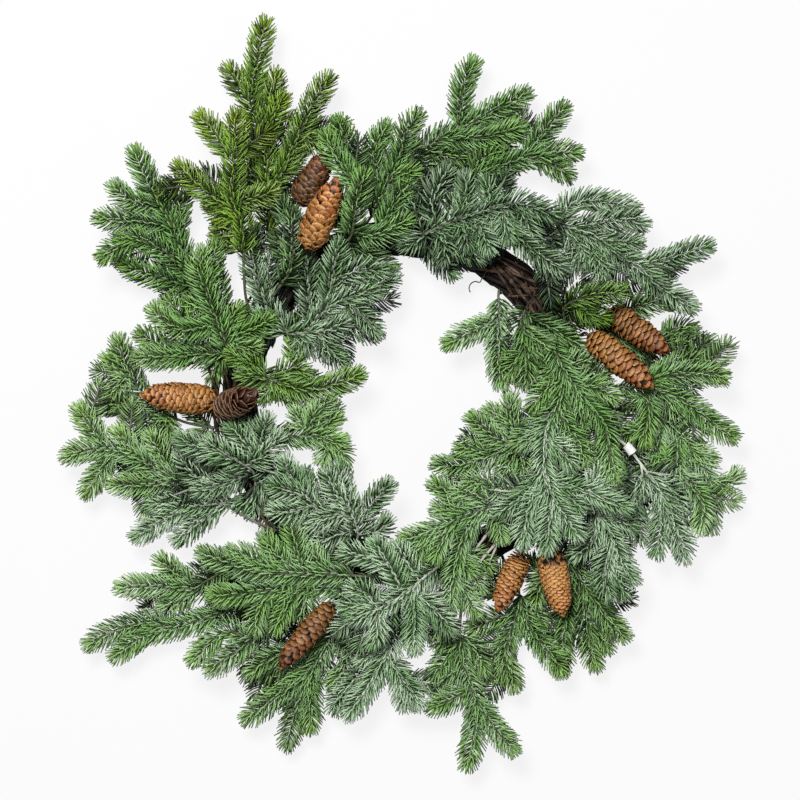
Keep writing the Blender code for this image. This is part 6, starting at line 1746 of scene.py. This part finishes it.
def cone_material(groups):
    """Cone scales: black towards their hidden inner parts as painted shade, from dark brown to golden tan on
    their showing ends, with streaks, and a thin line at their ends that is painted gap shade on tan cones.
    """
    material, tree, shader = new_material("cone_scales", 0.5)
    tone, tan, share, along = read_look(tree)
    brown = mix_colours(tree, tan, (0.040, 0.018, 0.006), (0.38, 0.150, 0.026))
    ruddy = mix_colours(tree, tan, (0.065, 0.017, 0.006), (0.44, 0.115, 0.028))
    face = mix_colours(tree, map_range(tree, share, 0.35, 0.95), brown, ruddy)
    bright = mix_colours(tree, tan, (0.20, 0.100, 0.034), (0.76, 0.38, 0.115))
    lit = multiply(tree, map_range(tree, tone, 0.10, 0.85), map_range(tree, along, 0.62, 0.85))
    face = mix_colours(tree, lit, face, bright)
    # painted shade: each scale black towards its inner part, where it lies under the scales outside it
    face = mix_colours(tree, map_range(tree, along, 0.42, 0.64), (0.006, 0.003, 0.002), face)
    # a thin line at the scale ends: a lighter rim on the darkest cones, and on the others a dark line of
    # painted shade in the gaps between scales
    rim_and_gap_shade = mix_colours(tree, map_range(tree, tan, 0.0, 0.10), (0.27, 0.150, 0.080), (0.030, 0.010, 0.005))
    edge = multiply(tree, map_range(tree, along, 0.93, 1.0, 0.0, 0.8),
                    map_range(tree, share, 0.80, 0.98, 1.0, 0.25))
    face = mix_colours(tree, edge, face, rim_and_gap_shade)
    grain = add_grain(tree, shader, groups, Fac=object_noise(tree, 620.0, 4.0), From=0.50, To=0.72, Dark=face,
                      Light=(0.035, 0.012, 0.005), Depth=0.0006)
    tree.links.new(grain, shader.inputs["Base Color"])
    return material


def vine_material(groups):
    """Vine bark: near black with tan fibres along the vine, silvered on the frosted stems."""
    material, tree, shader = new_material("vine_bark", 0.75, specular=0.2)
    tone, growth, frost, along = read_look(tree)
    skin = node(tree, "ShaderNodeUVMap", uv_map="UVMap")
    stretch = node(tree, "ShaderNodeMapping")
    stretch.inputs["Scale"].default_value = (7.0, 45.0, 1.0)
    tree.links.new(skin.outputs[0], stretch.inputs["Vector"])
    fibres = node(tree, "ShaderNodeTexNoise", Scale=1.0, Detail=5.0, Roughness=0.65)
    tree.links.new(stretch.outputs[0], fibres.inputs["Vector"])
    light = mix_colours(tree, tone, (0.020, 0.012, 0.008), (0.30, 0.180, 0.115))
    start = map_range(tree, tone, 0.0, 1.0, 0.48, 0.42)
    end = map_range(tree, tone, 0.0, 1.0, 0.74, 0.62)
    grain = add_grain(tree, shader, groups, Fac=fibres.outputs["Fac"], From=start, To=end,
                      Dark=(0.006, 0.004, 0.003), Light=light, Depth=0.0010)
    patch = map_range(tree, object_noise(tree, 110.0), 0.42, 0.58, 0.0, 0.92)
    colour = mix_colours(tree, patch, grain, (0.010, 0.006, 0.004))
    bloom = multiply(tree, map_range(tree, fibres.outputs["Fac"], 0.30, 0.55, 0.3, 1.0), frost)
    tree.links.new(mix_colours(tree, bloom, colour, (0.52, 0.48, 0.42)), shader.inputs["Base Color"])
    return material


def plain_material(groups, name, roughness, metallic, lumps, detail, **grain):
    """Two near colours with a fine grain, as on the dulled binding wire and the white stem tape."""
    material, tree, shader = new_material(name, roughness, metallic=metallic)
    colour = add_grain(tree, shader, groups, Fac=object_noise(tree, lumps, detail), **grain)
    tree.links.new(colour, shader.inputs["Base Color"])
    return material


# Stage: strengths, watts and metres
WORLD_STRENGTH = 0.17
KEY_ENERGY = 99.0
FILL_ENERGY = 9.0
FLOOR_GLOW = 0.85
FLOOR_SIZE = 4.0
FLOOR_DROP = 0.0005
CAMERA_HEIGHT = 2.6
PHOTO_PLANE = 0.045
PHOTO_SPAN = 0.8


def floor_material():
    """A pale sheet with a white glow: nearly shadowless to look at, mid grey to the wreath over it."""
    material, tree, shader = new_material("pale_floor", 0.9, specular=0.1)
    shader.inputs["Base Color"].default_value = (0.60, 0.60, 0.60, 1.0)
    glow = node(tree, "ShaderNodeEmission", Color=WHITE)
    path = node(tree, "ShaderNodeLightPath")
    blend = node(tree, "ShaderNodeMixShader")
    tree.links.new(multiply(tree, path.outputs["Is Camera Ray"], FLOOR_GLOW), blend.inputs[0])
    tree.links.new(shader.outputs[0], blend.inputs[1])
    tree.links.new(glow.outputs[0], blend.inputs[2])
    tree.links.new(blend.outputs[0], tree.nodes["Material Output"].inputs["Surface"])
    return material


def set_stage():
    """Pale floor, soft light from above and a long-lens camera straight over the wreath."""
    bm = bmesh.new()
    bmesh.ops.create_grid(bm, x_segments=1, y_segments=1, size=FLOOR_SIZE)
    bmesh.ops.translate(bm, verts=bm.verts[:], vec=(0.0, 0.0, -FLOOR_DROP))
    mesh = bpy.data.meshes.new("floor")
    bm.to_mesh(mesh)
    bm.free()
    floor = bpy.data.objects.new("floor", mesh)
    bpy.context.scene.collection.objects.link(floor)
    mesh.materials.append(floor_material())

    world = bpy.data.worlds.new("soft_room")
    world.use_nodes = True
    background = world.node_tree.nodes["Background"]
    background.inputs["Color"].default_value = (0.97, 0.98, 1.0, 1.0)
    background.inputs["Strength"].default_value = WORLD_STRENGTH
    bpy.context.scene.world = world
    bpy.context.scene.view_settings.view_transform = "Standard"

    for name, place, size, energy in (("key", (-0.5, 0.9, 2.5), 0.8, KEY_ENERGY),
                                      ("fill", (1.3, -0.6, 2.4), 2.0, FILL_ENERGY)):
        data = bpy.data.lights.new(name, "AREA")
        data.size = size
        data.energy = energy
        lamp = bpy.data.objects.new(name, data)
        lamp.location = place
        lamp.rotation_euler = (Vector((0.0, 0.0, 0.05)) - Vector(place)).to_track_quat("-Z", "Y").to_euler()
        bpy.context.scene.collection.objects.link(lamp)

    data = bpy.data.cameras.new("camera")
    data.lens = data.sensor_width * (CAMERA_HEIGHT - PHOTO_PLANE) / PHOTO_SPAN
    data.clip_end = 20.0
    camera = bpy.data.objects.new("camera", data)
    middle = TO_ROW @ Vector((0.0, 0.0, 0.0))
    camera.location = (middle.x, middle.y, CAMERA_HEIGHT)
    bpy.context.scene.collection.objects.link(camera)
    bpy.context.scene.camera = camera


def dress_tape(twigs, material):
    """The white tape, wrapped round the pale stem with crinkled edges."""
    low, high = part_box("stem_tape")
    middle = TO_ROW.inverted() @ ((low + high) / 2)
    twig = next(t for t in twigs if SPRAYS[t.spray][0] == TAPE_SPRAY and t.parent is None)
    place = min(np.arange(0.0, twig.length, 0.5), key=lambda p: (twig.point(p) - middle).length)
    count = int(TAPE_LENGTH / TAPE_STEP)
    spots, radii = [], []
    for k in range(count + 1):
        share = k / count
        spots.append(twig.point(place + (share - 0.5) * TAPE_LENGTH))
        step = TAPE_OVERLAP * math.floor(share * TAPE_WRAPS)
        radii.append(TAPE_RADIUS - TAPE_INSET + step + TAPE_RIPPLE * math.sin(share * TAPE_RIPPLES))
    bm = new_mesh()
    spots, radii = capped(spots, radii, STEM_RADIUS + SEAT_GAP)
    bent_strip(bm, spots, radii, TAPE_SIDES, (0.5, 0.0, 0.0), TAPE_ROUGHNESS, 3.0)
    finish_piece("wrapped_stem_tape", bm, [material], ["stem_tape"])


def main():
    groups = {"needle": needle_green_group(), "frost": frost_group(), "grain": grain_group()}
    materials = {slot: needle_material(slot, groups) for slot in NEEDLE_COLOURS}
    materials["bark"] = bark_material(groups)
    materials["cone"] = cone_material(groups)
    materials["vine"] = vine_material(groups)
    materials["wire"] = plain_material(groups, "dark_wire", 0.4, 0.8, 300.0, 3.0, From=0.35, To=0.7,
                                       Dark=(0.03, 0.03, 0.03), Light=(0.14, 0.13, 0.12), Depth=0.0001)
    tape = plain_material(groups, "stem_tape_white", 0.75, 0.0, 650.0, 4.0, From=0.3, To=0.65,
                          Dark=(0.60, 0.58, 0.54), Light=(0.88, 0.88, 0.86), Depth=0.0005)
    twigs = dress_sprays(materials)
    dress_cones(materials)
    dress_canes(materials)
    dress_core_vines(materials["vine"])
    dress_loose_vines(twigs, materials["vine"])
    dress_ties(materials)
    dress_tape(twigs, tape)
    set_stage()


main()
